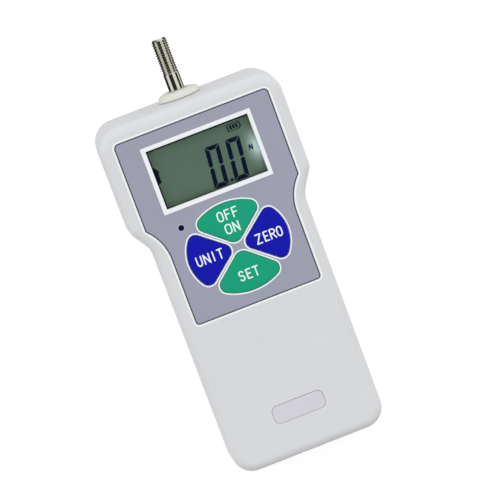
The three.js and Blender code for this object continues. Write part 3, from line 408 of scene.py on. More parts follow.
# colour, darker tone, spread of the tone, roughness, its spread, fine and broad scale, bump in mm, metal
finishTable = {
    "shell": ((217, 218, 220), (208, 209, 212), 0.5, 0.68, 0.12, 2600, 55, 0.010, 0),
    "panel": ((158, 160, 178), (150, 152, 170), 0.6, 0.46, 0.12, 3400, 70, 0.006, 0),
    "bezel": ((239, 244, 246), (231, 237, 240), 0.4, 0.42, 0.1, 3000, 60, 0.004, 0),
    # painted shade: the dark ring round the overlay's edge
    "painted_edge_shade": ((44, 46, 56), (37, 39, 48), 0.5, 0.5, 0.1, 3000, 90, 0.003, 0),
    # the window's mask, near black, partly painted shade of the recess
    "mask": ((8, 11, 11), (5, 8, 8), 0.5, 0.4, 0.1, 3000, 90, 0.003, 0),
    "nameplate": ((213, 211, 218), (206, 204, 211), 0.5, 0.45, 0.1, 3200, 80, 0.004, 0),
    "collar": ((225, 225, 217), (216, 216, 207), 0.5, 0.5, 0.1, 2600, 90, 0.008, 0),
    "green_key": ((6, 163, 123), (5, 155, 116), 0.7, 0.45, 0.1, 3200, 140, 0.006, 0),
    "blue_key": ((4, 14, 174), (3, 10, 162), 0.7, 0.45, 0.1, 3200, 140, 0.006, 0),
    "green_print": ((230, 255, 246), (222, 248, 238), 0.4, 0.5, 0.1, 3000, 90, 0.003, 0),
    "blue_print": ((243, 247, 255), (236, 240, 250), 0.4, 0.5, 0.1, 3000, 90, 0.003, 0),
    "halo": ((182, 184, 198), (174, 176, 190), 0.4, 0.5, 0.1, 3000, 90, 0.003, 0),
    "lcd": ((104, 127, 109), (94, 117, 100), 0.7, 0.5, 0.06, 3000, 50, 0.002, 0),
    "segment": ((4, 17, 54), (3, 12, 40), 0.6, 0.5, 0.06, 3000, 120, 0.002, 0),
    "dark_lens": ((14, 15, 20), (10, 10, 14), 0.5, 0.18, 0.05, 2500, 90, 0.002, 0),
    "steel": ((190, 192, 190), (170, 172, 168), 0.6, 0.16, 0.08, 4200, 120, 0.003, 1),
    "chrome": ((214, 212, 200), (202, 200, 186), 0.5, 0.07, 0.04, 4200, 300, 0.0006, 1),
    # painted highlight: the bead round the overlay is lighter than the shell
    "rim": ((243, 244, 246), (237, 239, 241), 0.4, 0.4, 0.1, 2600, 55, 0.004, 0),
    "zinc": ((186, 190, 193), (164, 168, 172), 0.7, 0.32, 0.15, 3600, 160, 0.006, 1),
    "aluminium": ((200, 203, 206), (182, 186, 190), 0.6, 0.38, 0.15, 3800, 120, 0.008, 1),
    "brass": ((186, 152, 78), (160, 126, 58), 0.6, 0.3, 0.12, 3600, 160, 0.006, 1),
    "board": ((31, 91, 54), (22, 72, 42), 0.8, 0.42, 0.12, 2200, 220, 0.010, 0),
    "black_plastic": ((27, 28, 30), (20, 21, 23), 0.6, 0.5, 0.15, 2800, 90, 0.012, 0),
    "nylon": ((230, 226, 214), (220, 215, 200), 0.5, 0.5, 0.1, 2600, 90, 0.008, 0),
    "foil": ((185, 128, 47), (160, 106, 36), 0.7, 0.4, 0.15, 4200, 400, 0.004, 0),
    "rubber": ((42, 43, 45), (34, 35, 37), 0.6, 0.78, 0.12, 2400, 110, 0.015, 0),
    "cell_sleeve": ((47, 111, 154), (39, 98, 140), 0.6, 0.35, 0.1, 2400, 60, 0.006, 0),
    "lead_jacket": ((58, 60, 64), (48, 50, 54), 0.6, 0.55, 0.12, 2600, 200, 0.010, 0),
}
plainGloss, bumpShare = 0.5, 0.6
dullGloss = {"lcd": 0.1, "segment": 0.05, "mask": 0.1, "green_key": 0.15, "blue_key": 0.12}


def newFinish(name):
    colour, shade, *values, bumpHeight, metal = finishTable[name]
    material, tree, shader = newPaint(name + "Finish")
    grain = tree.nodes.new("ShaderNodeGroup")
    grain.node_tree = drawnGrain if metal else mouldGrain
    fillNode(grain, dict(enumerate([fromScreen(*colour), fromScreen(*shade)] + values)))
    tone, gloss, height = [Term(socket) for socket in grain.outputs]
    fillNode(shader, {
        "Base Color": tone, "Roughness": gloss, "Metallic": metal,
        "Specular IOR Level": dullGloss.get(name, plainGloss),
        "Normal": newNode(tree, "Bump", {
            "Distance": bumpHeight * mm, "Strength": bumpShare, "Height": height,
        }),
    })
    material.diffuse_color = fromScreen(*colour)
    return material


finishes = {name: newFinish(name) for name in finishTable}
# the painted glow's middle, reach, colour, falloff and strength
paintedGlow = Sizes(
    place=(20.2, 45.75, 32.3), reach=(9, 15, 10), colour=(226, 249, 246), falloff=4, gain=1.75,
)


# a painted glow: the display's backing is painted lighter towards its right edge
def paintDisplayGlow(tree):
    near = newNode(tree, "Mapping", {
        "Vector": newNode(tree, "TexCoord", output="Object"),
        "Location": Vector(paintedGlow.place) * mm, "Scale": Vector(paintedGlow.reach) * mm,
    }, vector_type="TEXTURE")
    far = newNode(tree, "VectorMath", {0: near}, "Value", operation="LENGTH")
    share = calc("POWER", calc("SUBTRACT", 1, far, True), paintedGlow.falloff)
    share = calc("MULTIPLY", share, paintedGlow.gain, True)
    shader = tree.nodes["Principled BSDF"]
    plain = Term(shader.inputs["Base Color"].links[0].from_socket)
    fillNode(shader, {"Base Color": blended(tree, share, plain, fromScreen(*paintedGlow.colour))})


# the display's colour carries a painted glow
paintDisplayGlow(finishes["lcd"].node_tree)
window = Sizes(tints=((0.965, 0.98, 0.975, 1), (0.985, 0.995, 0.99, 1)), tintScale=90, ior=1.49, gloss=1.9)


def windowFinish():
    material, tree, shader = newPaint("windowFinish")
    tree.nodes.remove(shader)
    noise = newNode(tree, "TexNoise", {
        "Vector": newNode(tree, "TexCoord", output="Object"), "Scale": window.tintScale,
    }, "Fac")
    tint = newNode(tree, "ValToRGB", {"Fac": noise})
    for stop, colour in zip(tint.socket.node.color_ramp.elements, window.tints):
        stop.color = colour
    # both faces of the pane mirror, and the front one shows it
    bounce = newNode(tree, "Fresnel", {"IOR": window.ior})
    inside = newNode(tree, "NewGeometry", output="Backfacing")
    share = calc("MULTIPLY", bounce, window.gloss - inside * window.gloss, True)
    mixedSurface(tree, share, newNode(tree, "BsdfTransparent", {"Color": tint}),
                 newNode(tree, "BsdfGlossy", {"Roughness": 0}))
    return material


finishes["window"] = windowFinish()
print("finishes made:", len(finishes))


# the housing's outer and inner walls, as rows from the face to the seam or back
def outerRows(sign):
    seam, edge, draft = housing.seam, housing.edge, housing.draft
    straight = (housing.depth - seam if sign > 0 else seam) - edge
    rows = []
    for step in range(housing.edgeSteps + 1):
        angle = math.pi / 2 * step / housing.edgeSteps
        inset = draft * straight + edge * (1 - math.sin(angle))
        rows.append((bodyOutline(inset), seam + sign * (straight + edge * math.cos(angle))))
    bevel = housing.seamBevel
    return rows + [(bodyOutline(draft * bevel), seam + sign * bevel), (bodyOutline(bevel), seam)]


def innerRows(rimInset, rimRise, sign):
    seam, wall, draft = housing.seam, housing.wall, housing.draft
    depth = housing.depth - seam - housing.faceWall if sign > 0 else seam - wall
    chamfer = housing.innerChamfer
    wallInset = wall + draft * (depth - chamfer)
    rows = [(rimInset, seam), (rimInset, seam + rimRise), (wall, seam + rimRise),
            (wallInset, seam + sign * (depth - chamfer)), (wallInset + chamfer, seam + sign * depth)]
    return [(bodyOutline(inset), z) for inset, z in rows]


def postsAt(places, radius, bottom, top):
    return [prismPiece("post", circle(radius, fasteners.postSides, x, y), bottom, top)
            for x, y in places]


def flaredCutter(narrow, wide, bottom, surface, flare):
    return stackPiece("cutter", [
        (narrow, bottom), (narrow, surface - flare), (wide, surface), (wide, surface + past),
    ])


# holes from the back, with a small flare where they come out
def flaredHoles(places, radius, depth, flare):
    rows = [(radius, depth), (radius, flare), (radius + flare, 0), (radius + flare, -past)]
    return [stackPiece("cutter", [(circle(r, fasteners.holeSides, x, y), z) for r, z in rows])
            for x, y in places]


def sharedCutters():
    neck = turnedPiece("cutter", [(housing.neckRadius, head - housing.neckDepth),
                                  (housing.neckRadius, head + past)], sockets.sides)
    jack = circle(sockets.jackRadius, sockets.sides, *sockets.jack)
    return [neck, sidewaysPiece("cutter", [(jack, sockets.jackInside), (jack, sockets.outside)])]


def buildRearShell():
    wall, seam, screws, inserts = housing.wall, housing.seam, fasteners.screws, fasteners.inserts
    root, bore = wall / 2, fasteners.bore
    rows = outerRows(-1) + innerRows(wall - housing.tongue, housing.tongueHeight, -1)
    shell = stackPiece("rear_housing", rows)
    posts = postsAt(screws, fasteners.bossRadius, root, seam - fasteners.bossGap)
    posts += postsAt(inserts, fasteners.bossRadius, root, fasteners.insertBoss)
    posts += postsAt(fasteners.bracket, fasteners.postRadius, root, fasteners.bracketPost)
    combine(shell, posts, "UNION")
    cuts = flaredHoles(screws, fasteners.counterboreRadius, fasteners.counterbore,
                       fasteners.counterboreFlare)
    cuts += postsAt(screws, bore, past, seam + past)
    cuts += flaredHoles(inserts, fasteners.insertRadius, fasteners.insertLength, fasteners.insertFlare)
    cuts += postsAt(fasteners.bracket, bore, root, seam)
    return combine(shell, cuts + sharedCutters(), "DIFFERENCE")


def buildFrontShell():
    wall = housing.wall - housing.tongue - housing.tongueClearance
    rise = housing.tongueHeight + housing.tongueClearance
    shell = stackPiece("front_housing", outerRows(1) + innerRows(wall, rise, 1))
    depth, ceiling, rim, seam = housing.depth, levels.ceiling, housing.rim, housing.seam
    root = ceiling + housing.faceWall / 2
    posts = postsAt(fasteners.screws, fasteners.postRadius, seam + fasteners.bossGap, root)
    posts += postsAt(fasteners.boardPosts, fasteners.boardPostRadius, fasteners.boardPost, root)
    combine(shell, posts, "UNION")
    gap, slack, under = panel.gap, panel.slack, ceiling - past
    port = rectangleOutline(*sockets.portSize, 4, *sockets.port)
    cuts = [
        flaredCutter(panelOutline(-gap - slack), panelOutline(-gap - 2 * slack), levels.recessFloor,
                     depth, slack),
        prismPiece("cutter", displayOutline("view", display.opening, corner=display.openingCorner),
                   under, depth),
        flaredCutter(plateOutline(0), plateOutline(-rim), depth - plate.recess, depth, rim),
        prismPiece("cutter", indicatorCircle(indicator.hole, 32), under, depth),
        sidewaysPiece("cutter", [(port, sockets.portInside), (port, sockets.outside)]),
    ]
    cuts += petalCutters(keys.neckClearance - keys.neckInset, under, depth)
    cuts += postsAt(fasteners.screws, fasteners.bore, seam - past, fasteners.boreTop)
    return combine(shell, cuts + sharedCutters(), "DIFFERENCE")


placed(buildRearShell(), "shell", "rear_shell")
placed(buildFrontShell(), "shell", "front_shell")
print("housing made")


# a flat piece whose upper edge has a small bevel, from what gives its outline at an inset
def bevelledPiece(name, outlineAt, bottom, top, bevel):
    whole = outlineAt(0)
    return stackPiece(name, [(whole, bottom), (whole, top - bevel), (outlineAt(bevel), top)])


def buildPanel():
    floor, face = levels.recessFloor, levels.panelFace
    piece = bevelledPiece("panel_overlay_fine", panelOutline, floor, face, panel.edge)
    under, over = floor - past, face + past
    opening = displayOutline("bezel", panel.bezelClearance, corner=panel.bezelCorner)
    cuts = [prismPiece("cutter", opening, under, over)]
    cuts += petalCutters(panel.keyClearance, under, over)
    cuts.append(prismPiece("cutter", indicatorCircle(indicator.clearance), under, over))
    return combine(piece, cuts, "DIFFERENCE")


def printedRing(name, inner, outer):
    bottom, top = levels.panelFace - keys.printDepth, levels.panelFace + keys.printRise
    return ringPiece(name, inner, outer, bottom, top)


# a low rounded bead of the housing round the overlay, lighter than the shell as a painted highlight
def buildHighlightBead():
    gap, steps, surface = panel.gap, panel.beadSteps, housing.depth
    rows = [(gap, surface - panel.beadRoot)]
    for step in range(steps + 1):
        rise = panel.beadRise * math.sin(math.pi * step / steps)
        rows.append((gap + panel.bead * step / steps, surface - panel.beadSink + rise))
    rows.append((gap + panel.bead, surface - panel.beadRoot))
    return stackPiece("panel_rim_highlight", [(panelOutline(-grow), z) for grow, z in rows], True)


placed(buildPanel(), "panel", "panel_overlay")
for colour, petal in (("green", endPetal), ("blue", sidePetal)):
    rings = [printedRing("ring", *[petalOutline(petal, panel.keyClearance + grow, turn)
                                   for grow in (0, keys.outline)])
             for shape, turn, reach in petals.values() if shape is petal]
    placed(joined(colour + "_outlines", rings), "panel", finish=colour + "_print")
placed(printedRing("indicator_ring", indicatorCircle(indicator.clearance), indicatorCircle(indicator.ring)),
       "panel", finish="halo")
# a dark ring at the overlay's edge, painted shade of the gap round it
placed(printedRing("panel_edge_shade", panelOutline(panel.edge + panel.border), panelOutline(panel.edge)),
       "panel", finish="painted_edge_shade")
# the bead's lighter finish is a painted highlight
placed(buildHighlightBead(), "shell", finish="rim")
plateFloor = housing.depth - plate.recess
placed(bevelledPiece("nameplate_fine", lambda inset: plateOutline(plate.clearance + inset), plateFloor,
                     plateFloor + plate.thickness, plate.edge), "nameplate", "nameplate_inlay")
print("panel made")


def buildBezel():
    floor, edge, sill, shift = levels.recessFloor, display.edge, display.sill, display.viewShift
    top = levels.panelFace + display.proud
    outer, view = displayOutline("bezel"), displayOutline("view", x=shift)
    return stackPiece("display_frame", [
        (outer, floor), (outer, top - edge), (displayOutline("bezel", -edge), top),
        (displayOutline("view", sill, x=shift), top), (view, top - sill), (view, floor),
    ], True)


# a dark frame printed on the underside of the window, shifted to be widest at the left and top as painted
# shade of the recess
def buildMaskAndShade(top):
    bottom, (shiftX, shiftY), (side, end) = top - display.maskThickness, display.maskShift, display.mask
    outer = displayOutline("view", display.windowOverlap)
    inner = displayOutline("view", -side, -end, x=shiftX, y=shiftY)
    return ringPiece("window_mask_and_shade", outer, inner, bottom, top)


paneTop, paneBottom = levels.recessFloor, levels.recessFloor - display.windowThickness
lcdTop = levels.lcdFace
placed(buildBezel(), "bezel", "display_bezel")
pane = bevelledPiece("display_pane", lambda inset: displayOutline("view", display.windowOverlap - inset),
                     paneBottom, paneTop, display.windowBevel)
placed(pane, "window", "display_window")
# the mask under the window, partly painted shade of the recess
placed(buildMaskAndShade(paneBottom), "window", finish="mask")
glass = bevelledPiece("lcd_panel", lambda inset: displayOutline("glass", -inset),
                      lcdTop - display.glassThickness, lcdTop, display.glassBevel)
placed(glass, "lcd", "lcd_glass")

digits = Sizes(
    centres=[3.1, 11.3], bottom=35.9, height=15.9, width=5.65, stroke=1.6,
    slant=0.1, gap=0.22, endGap=0.165, shoulder=0.48, point=(6.65, 36.95, 1.1, 0.22),
    rise=0.02, sink=0.1,
    pointer=[(-20.9, 45.3), (-18.4, 45.3), (-18.3, 49.3), (-17.6, 49.3), (-19.1, 51.6), (-20.9, 51.6)],
    battery=[(11.55, 54.2), (16.3, 54.2), (16.9, 55.0), (16.9, 56.3), (16.3, 57.0), (11.55, 57.0)],
    batteryMiddle=(14.2, 55.6), batteryLine=0.5, bars=[12.92, 14.1, 15.28], barY=55.62,
    bar=(0.8, 1.6, 0.1),
    unit=[(16.95, 45.05), (17.15, 47.1), (18.0, 45.05), (18.3, 47.1)], unitLine=0.23,
)


def zeroSegments(centreX):
    half, stroke, gap, end = digits.width / 2, digits.stroke, digits.gap / 2, digits.endGap
    bottom, top = digits.bottom, digits.bottom + digits.height
    middle, outer, inner = (bottom + top) / 2, half - end, half - stroke - end
    shapes = [
        [(-outer, top), (-inner, top - stroke), (inner, top - stroke), (outer, top)],
        [(-outer, bottom), (outer, bottom), (inner, bottom + stroke), (-inner, bottom + stroke)],
    ]
    for side in (-1, 1):
        outer, inner = side * half, side * (half - stroke)
        for near, far, sign in ((middle + gap, top, 1), (middle - gap, bottom, -1)):
            shoulder = near + sign * digits.shoulder
            shapes.append([(outer, far - sign * end), (outer, shoulder), (side * (half - stroke / 2), near),
                           (inner, shoulder), (inner, far - sign * (stroke + end))])
    return [[(centreX + x + digits.slant * (y - middle), y) for x, y in shape] for shape in shapes]


def strokeBar(start, end, half):
    across = Vector((end[0] - start[0], end[1] - start[1])).normalized()
    side = Vector((-across.y, across.x)) * half
    corners = [(start, -1), (end, -1), (end, 1), (start, 1)]
    return [(point[0] + sign * side.x, point[1] + sign * side.y) for point, sign in corners]


def buildSegments():
    shapes = [shape for centre in digits.centres for shape in zeroSegments(centre)]
    x, y, size, corner = digits.point
    shapes.append(rectangleOutline(size, size, corner, 4, x, y))
    shapes.append(digits.pointer)
    shapes += [rectangleOutline(*digits.bar, 2, barX, digits.barY) for barX in digits.bars]
    bottom, top = levels.lcdFace - digits.sink, levels.lcdFace + digits.rise
    parts = [prismPiece("segment", shape, bottom, top) for shape in shapes]
    outer, middle = [Vector(point) for point in digits.battery], Vector(digits.batteryMiddle)
    inner = [point + (middle - point).normalized() * digits.batteryLine for point in outer]
    parts.append(ringPiece("segment", inner, outer, bottom, top))
    strokes = [prismPiece("segment", strokeBar(start, end, digits.unitLine), bottom, top)
               for start, end in zip(digits.unit, digits.unit[1:])]
    parts.append(combine(strokes[0], strokes[1:], "UNION"))
    return joined("lcd_segments", parts)


placed(buildSegments(), "lcd", finish="segment")
print("display made")

# lines of letters, each with its left edge and width, over their lower edge
legends = {
    "key_off_on": {23.9: [("O", -3.88, 2.5), ("F", -0.8, 2.2), ("F", 2.12, 2.2)],
                   18.55: [("O", -2.6, 2.7), ("N", 0.6, 2.5)]},
    "key_unit": {10.93: [("U", -16.95, 2.32), ("N", -14.07, 2.5), ("I", -10.45, 0.58), ("T", -8.6, 2.36)]},
    "key_set": {-0.03: [("S", -3.88, 2.2), ("E", -0.95, 2.1), ("T", 1.7, 2.5)]},
    "key_zero": {10.87: [("Z", 6.83, 2.4), ("E", 10.05, 1.95), ("R", 12.5, 2.35), ("O", 15.2, 2.27)]},
}
lettering = Sizes(height=4.05, stroke=0.52, depth=0.12)


def bow(middleY, radiusY, start, end, steps=12):
    angles = [math.radians(start + (end - start) * step / steps) for step in range(steps + 1)]
    return [(0.5 + 0.5 * math.cos(angle), middleY + radiusY * math.sin(angle)) for angle in angles]


# centre lines of the letters, in a box of one by one
left, right, middle = [(0, 0), (0, 1)], [(1, 0), (1, 1)], [(0.5, 0), (0.5, 1)]
top, bar, base = [(0, 1), (1, 1)], [(0, 0.52), (0.85, 0.52)], [(0, 0), (1, 0)]
letters = {
    "O": [bow(0.68, 0.32, 0, 180) + bow(0.32, 0.32, 180, 270), bow(0.32, 0.32, 270, 360) + [(1, 0.68)]],
    "F": [left, top, bar], "E": [left, top, bar, base], "T": [middle, top], "I": [middle],
    "N": [left, [(0, 1), (1, 0)], right], "Z": [top, [(1, 1), (0, 0)], base],
    "U": [[(0, 1)] + bow(0.32, 0.32, 180, 360) + [(1, 1)]],
    "R": [left, [(0, 1)] + bow(0.76, 0.24, 90, -90) + [(0, 0.52)], [(0.45, 0.52), (1, 0)]],
    "S": [bow(0.76, 0.24, 25, 270) + bow(0.26, 0.26, 90, -155)[1:]],
}


# a line of even width with round ends
def ribbonOutline(points, half):
    points = [Vector(point) for point in points]
    runs = [(b - a).normalized() for a, b in zip(points, points[1:])]
    left, right = [], []
    for index, point in enumerate(points):
        before, after = runs[max(index - 1, 0)], runs[min(index, len(runs) - 1)]
        across = (before + after).normalized()
        normal = Vector((-across.y, across.x)) * half / max(across.dot(after), 0.5)
        left.append(point + normal)
        right.append(point - normal)

    def cap(point, run):
        heading = math.atan2(run.y, run.x)
        ends = arcPoints(point.x, point.y, half, heading - math.pi / 2, heading + math.pi / 2, 8)
        return [Vector(end) for end in ends[1:-1]]

    outline = right + cap(points[-1], runs[-1]) + left[::-1] + cap(points[0], -runs[0])
    return [(point.x, point.y) for point in outline]


def buildLegend(name):
    stroke, height, top, parts = lettering.stroke, lettering.height - lettering.stroke, levels.keyTop, []
    for low, line in legends[name].items():
        for letter, x, width in line:
            strokes = [prismPiece("stroke", ribbonOutline([
                (x + stroke / 2 + px * (width - stroke), low + stroke / 2 + py * height) for px, py in path
            ], stroke / 2), top - lettering.depth, top) for path in letters[letter]]
            parts.append(combine(strokes[0], strokes[1:], "UNION"))
    return joined(name + "_legend", parts)


# a domed cap, with a neck through the overlay, a lug on each side and a plunger onto its switch
def buildKey(name):
    petal, turn, switchReach = petals[name]
    top, foot, under = levels.keyTop - keys.printRise, levels.keyFoot, levels.keyUnderside
    edge, dome, shrink, steps = keys.edgeRadius, keys.dome, keys.shrink, keys.steps
    rows = [(0, under)]
    for step in range(steps + 1):
        angle = math.pi / 2 * step / steps
        rows.append((edge * (1 - math.cos(angle)), top - dome - edge * (1 - math.sin(angle))))
    for step in range(1, steps + 1):
        share = step / steps
        rows.append((edge + keys.domeReach * share, top - dome * (1 - share) ** 2))
    cap = stackPiece(name + "_cap", [(petalOutline(petal, -shrink - inset, turn), z) for inset, z in rows])
    lugTop, angle = foot + keys.lugThickness, math.radians(turn)
    neck = prismPiece("neck", petalOutline(petal, -keys.neckInset, turn), foot, under + keys.overlap)
    lugOutline = rectangleOutline(keys.lugWidth, 2 * keys.lugReach, keys.lugCorner, 3, 0,
                                  petal.reach - keys.neckInset)
    lug = prismPiece("lug", lugOutline, foot, lugTop)
    lug.data.transform(Matrix.Translation((0, keys.y * mm, 0)) @ Matrix.Rotation(angle, 4, "Z"))
    middle = (-switchReach * math.sin(angle), keys.y + switchReach * math.cos(angle))
    plungers = postsAt([middle], keys.plungerRadius, levels.stemTop, lugTop)
    return combine(cap, [neck, lug] + plungers, "UNION")


for keyName, (petal, turn, reach) in petals.items():
    colour = "green" if petal is endPetal else "blue"
    placed(buildKey(keyName), colour + "_key", keyName, body=keyName)
    placed(buildLegend(keyName), colour + "_key", body=keyName, finish=colour + "_print")
print("keys made")

lens = Sizes(
    top=35.4, foot=27.8, flange=(31.5, 32.4), stemGrow=-0.17, flangeGrow=0.68,
    edge=[(0, 0.09), (0.03, 0.04), (0.1, 0.01), (0.3, 0)],
)
under, over = lens.flange
lensRows = [(lens.stemGrow, lens.foot), (lens.stemGrow, under), (lens.flangeGrow, under),
            (lens.flangeGrow, over), (0, over)]
lensRows += [(-inset, lens.top - drop) for inset, drop in lens.edge]
placed(stackPiece("indicator_pipe", [(indicatorCircle(grow), z) for grow, z in lensRows]),
       "dark_lens", "indicator_lens")

# profiles are pairs of a radius and a height over the collar's seat
collar = Sizes(
    seat=71.85, sides=96,
    profile=[
        (3.35, -4.55), (7.6, -4.55), (7.6, -3.15), (6, -3.15), (6, 0), (8.18, 0), (8.3, 0), (8.3, 0.5),
        (8.24, 0.72), (7.752, 1.622), (7.382, 1.952), (5.75, 2.495), (5.35, 2.6), (3.5, 2.6), (3.35, 2.45),
    ],
    pad=[(6, -1.85), (8.7, -1.85), (8.7, -0.37), (8.58, -0.25), (6, -0.25)],
)


def collarPiece(name, profile):
    rows = [(radius, collar.seat + rise) for radius, rise in profile]
    return turnedPiece(name, rows, collar.sides, True)


placed(collarPiece("rod_collar_fine", collar.profile), "collar", "rod_collar", angle=40)
placed(collarPiece("collar_pad", collar.pad), "shell")
print("lens and collar made")


# a tree's sizes in metres, apart from its counts, shares and turns
def inMetres(sizes):
    plain = ("count", "share", "turn")
    return {label: value if label.lower().endswith(plain) else value * mm for label, value in sizes.items()}


def newShapeTree(name, sizes):
    tree = bpy.data.node_groups.new(name, "GeometryNodeTree")
    for way in ("INPUT", "OUTPUT"):
        tree.interface.new_socket("Geometry", in_out=way, socket_type="NodeSocketGeometry")
    for label, value in inMetres(sizes).items():
        kind = "NodeSocketInt" if label.endswith("count") else "NodeSocketFloat"
        tree.interface.new_socket(label, in_out="INPUT", socket_type=kind).default_value = value
    tree.interface.new_socket("Finish", in_out="INPUT", socket_type="NodeSocketMaterial")
    return tree, {socket.name: Term(socket) for socket in tree.nodes.new("NodeGroupInput").outputs}


def endTree(tree, size, shape):
    real = newNode(tree, "GeometryNodeRealizeInstances", {0: shape})
    painted = newNode(tree, "GeometryNodeSetMaterial", {"Geometry": real, "Material": size["Finish"]})
    fillNode(tree.nodes.new("NodeGroupOutput"), {0: painted})
    return tree


def grownPiece(name, tree, points, sizes, finish):
    mesh = bpy.data.meshes.new(name)
    mesh.from_pydata([Vector(point) * mm for point in points], [], [])
    piece = newPiece(name, mesh)
    grow = piece.modifiers.new("grow", "NODES")
    grow.node_group = tree
    values = {**inMetres(sizes), "Finish": finish}
    for item in tree.interface.items_tree:
        if item.in_out == "INPUT" and item.name in values:
            grow[item.identifier] = values[item.name]
    return bake(piece)


# a round bar up the z axis, each of whose points goes where place() sends it
def shapedBar(tree, radius, height, sideCount, rowCount, place):
    bar = newNode(tree, "GeometryNodeMeshCylinder", {
        "Vertices": sideCount, "Side Segments": rowCount, "Radius": radius, "Depth": height,
    })
    where = newNode(tree, "GeometryNodeInputPosition")
    x, y, z = eachOutput(newNode(tree, "SeparateXYZ", {0: where}))
    spot = newNode(tree, "CombineXYZ", dict(enumerate(place(x, y, z + height * 0.5))))
    return newNode(tree, "GeometryNodeSetPosition", {"Geometry": bar, "Position": spot})


def threadDepth(x, y, height, size):
    turns = calc("ARCTAN2", y, x) / (2 * math.pi)
    wave = calc("FRACT", height / size["Pitch"] - turns)
    ramp = calc("ABSOLUTE", wave - 0.5) * 2 - size["Crest share"]
    groove = calc("DIVIDE", ramp, 1 - size["Crest share"] - size["Root share"], True)
    return groove * size["Thread depth"]


def block(tree, *sizes):
    return newNode(tree, "GeometryNodeMeshCube", {
        "Size": newNode(tree, "CombineXYZ", dict(enumerate(sizes))),
    })


def boolean(tree, operation, first, *others):
    node = tree.nodes.new("GeometryNodeMeshBoolean")
    node.operation, node.solver = operation, "MANIFOLD"
    fillNode(node, {"Mesh 1": first} if operation == "DIFFERENCE" else {"Mesh 2": first})
    for other in others:
        fillNode(node, {"Mesh 2": other})
    return Term(node.outputs["Mesh"])


def repeated(tree, size, shape):
    return newNode(tree, "GeometryNodeInstanceOnPoints", {
        "Points": size["Geometry"], "Instance": shape,
        "Rotation": newNode(tree, "CombineXYZ", {0: size["Turn"]}),
    })


rodStart = 49.85
rod = {
    "Radius": 3, "Length": 45.05, "Thread start": 30.75, "Run-out": 1.0, "Pitch": 1.0, "Thread depth": 0.4,
    "Chamfer": 0.7, "Crest share": 0.14, "Root share": 0.12, "Shank rows share": 0.08, "Side count": 64,
    "Row count": 900,
}


def threadTree():
    tree, size = newShapeTree("rodThread", rod)
    length, start, radius = size["Length"], size["Thread start"], size["Radius"]
    few = size["Shank rows share"]

    def place(x, y, level):
        # a few rows for the plain shank, and the rest for the thread
        share = level / length
        threadShare = calc("DIVIDE", share - few, 1 - few, True)
        height = calc("DIVIDE", share, few, True) * start + threadShare * (length - start)
        begun = calc("DIVIDE", height - start, size["Run-out"], True)
        room = calc("MINIMUM", length - height, height) + (radius - size["Chamfer"])
        scale = calc("MINIMUM", radius - threadDepth(x, y, height, size) * begun, room) / radius
        return x * scale, y * scale, height

    return endTree(tree, size, shapedBar(tree, radius, length, size["Side count"], size["Row count"], place))


rodPiece = grownPiece("measuring_rod_fine", threadTree(), [(0, 0, 0)], rod, finishes["chrome"])
rodPlace = Matrix.Translation((0, rodStart * mm, housing.seam * mm))
rodPiece.data.transform(rodPlace @ Matrix.Rotation(-math.pi / 2, 4, "X"))
placed(rodPiece, "steel", "measuring_rod", body="measuring_rod", finish="chrome", angle=40)
print("rod made:", len(rodPiece.data.polygons), "faces")

screw = {
    "Head radius": 2.9, "Head height": 2.2, "Shank radius": 1.5, "Length": 20, "Pitch": 0.8,
    "Thread depth": 0.25, "Crest share": 0.25, "Root share": 0.15, "Cross radius": 1.3, "Cross width": 0.65,
    "Cross depth": 1, "Crown share": 0.22, "Neck share": 0.9, "Taper share": 0.8, "Tip share": 0.35,
    "Head side count": 36, "Head row count": 8, "Shank side count": 24, "Shank row count": 120,
    "Turn": 0.0,
}
insert = {
    "Radius": 3, "Length": 6.5, "Bore radius": 1.65, "Bore depth": 5.5, "Bore chamfer": 0.4,
    "Knurl depth": 0.18, "Knurl count": 24, "Plain share": 0.1, "Waist share": 0.1, "Side count": 96,
    "Row count": 40, "Bore side count": 40, "Bore row count": 28, "Turn": 0.0,
}


# a pan-head screw with a cross recess: its drive face at zero and its shank up the z axis
def screwTree():
    tree, size = newShapeTree("panScrew", screw)
    headHeight, shankRadius = size["Head height"], size["Shank radius"]
    neck = headHeight * size["Neck share"]

    def crown(x, y, height):
        scale = 1 - calc("POWER", 1 - height / headHeight, 3) * size["Crown share"]
        return x * scale, y * scale, height

    def shank(x, y, height):
        room = size["Length"] - height - headHeight
        depth = threadDepth(x, y, height, size) * calc("DIVIDE", room, size["Pitch"], True)
        tip = room * size["Taper share"] + shankRadius * size["Tip share"]
        scale = calc("MINIMUM", shankRadius - depth, tip) / shankRadius
        return x * scale, y * scale, height + neck

    top = shapedBar(tree, size["Head radius"], headHeight, size["Head side count"],
                    size["Head row count"], crown)
    long, wide, deep = size["Cross radius"] * 2, size["Cross width"], size["Cross depth"] * 2
    top = boolean(tree, "DIFFERENCE", top, block(tree, long, wide, deep), block(tree, wide, long, deep))
    stem = shapedBar(tree, shankRadius, size["Length"] - neck, size["Shank side count"],
                     size["Shank row count"], shank)
    return endTree(tree, size, repeated(tree, size, boolean(tree, "UNION", top, stem)))


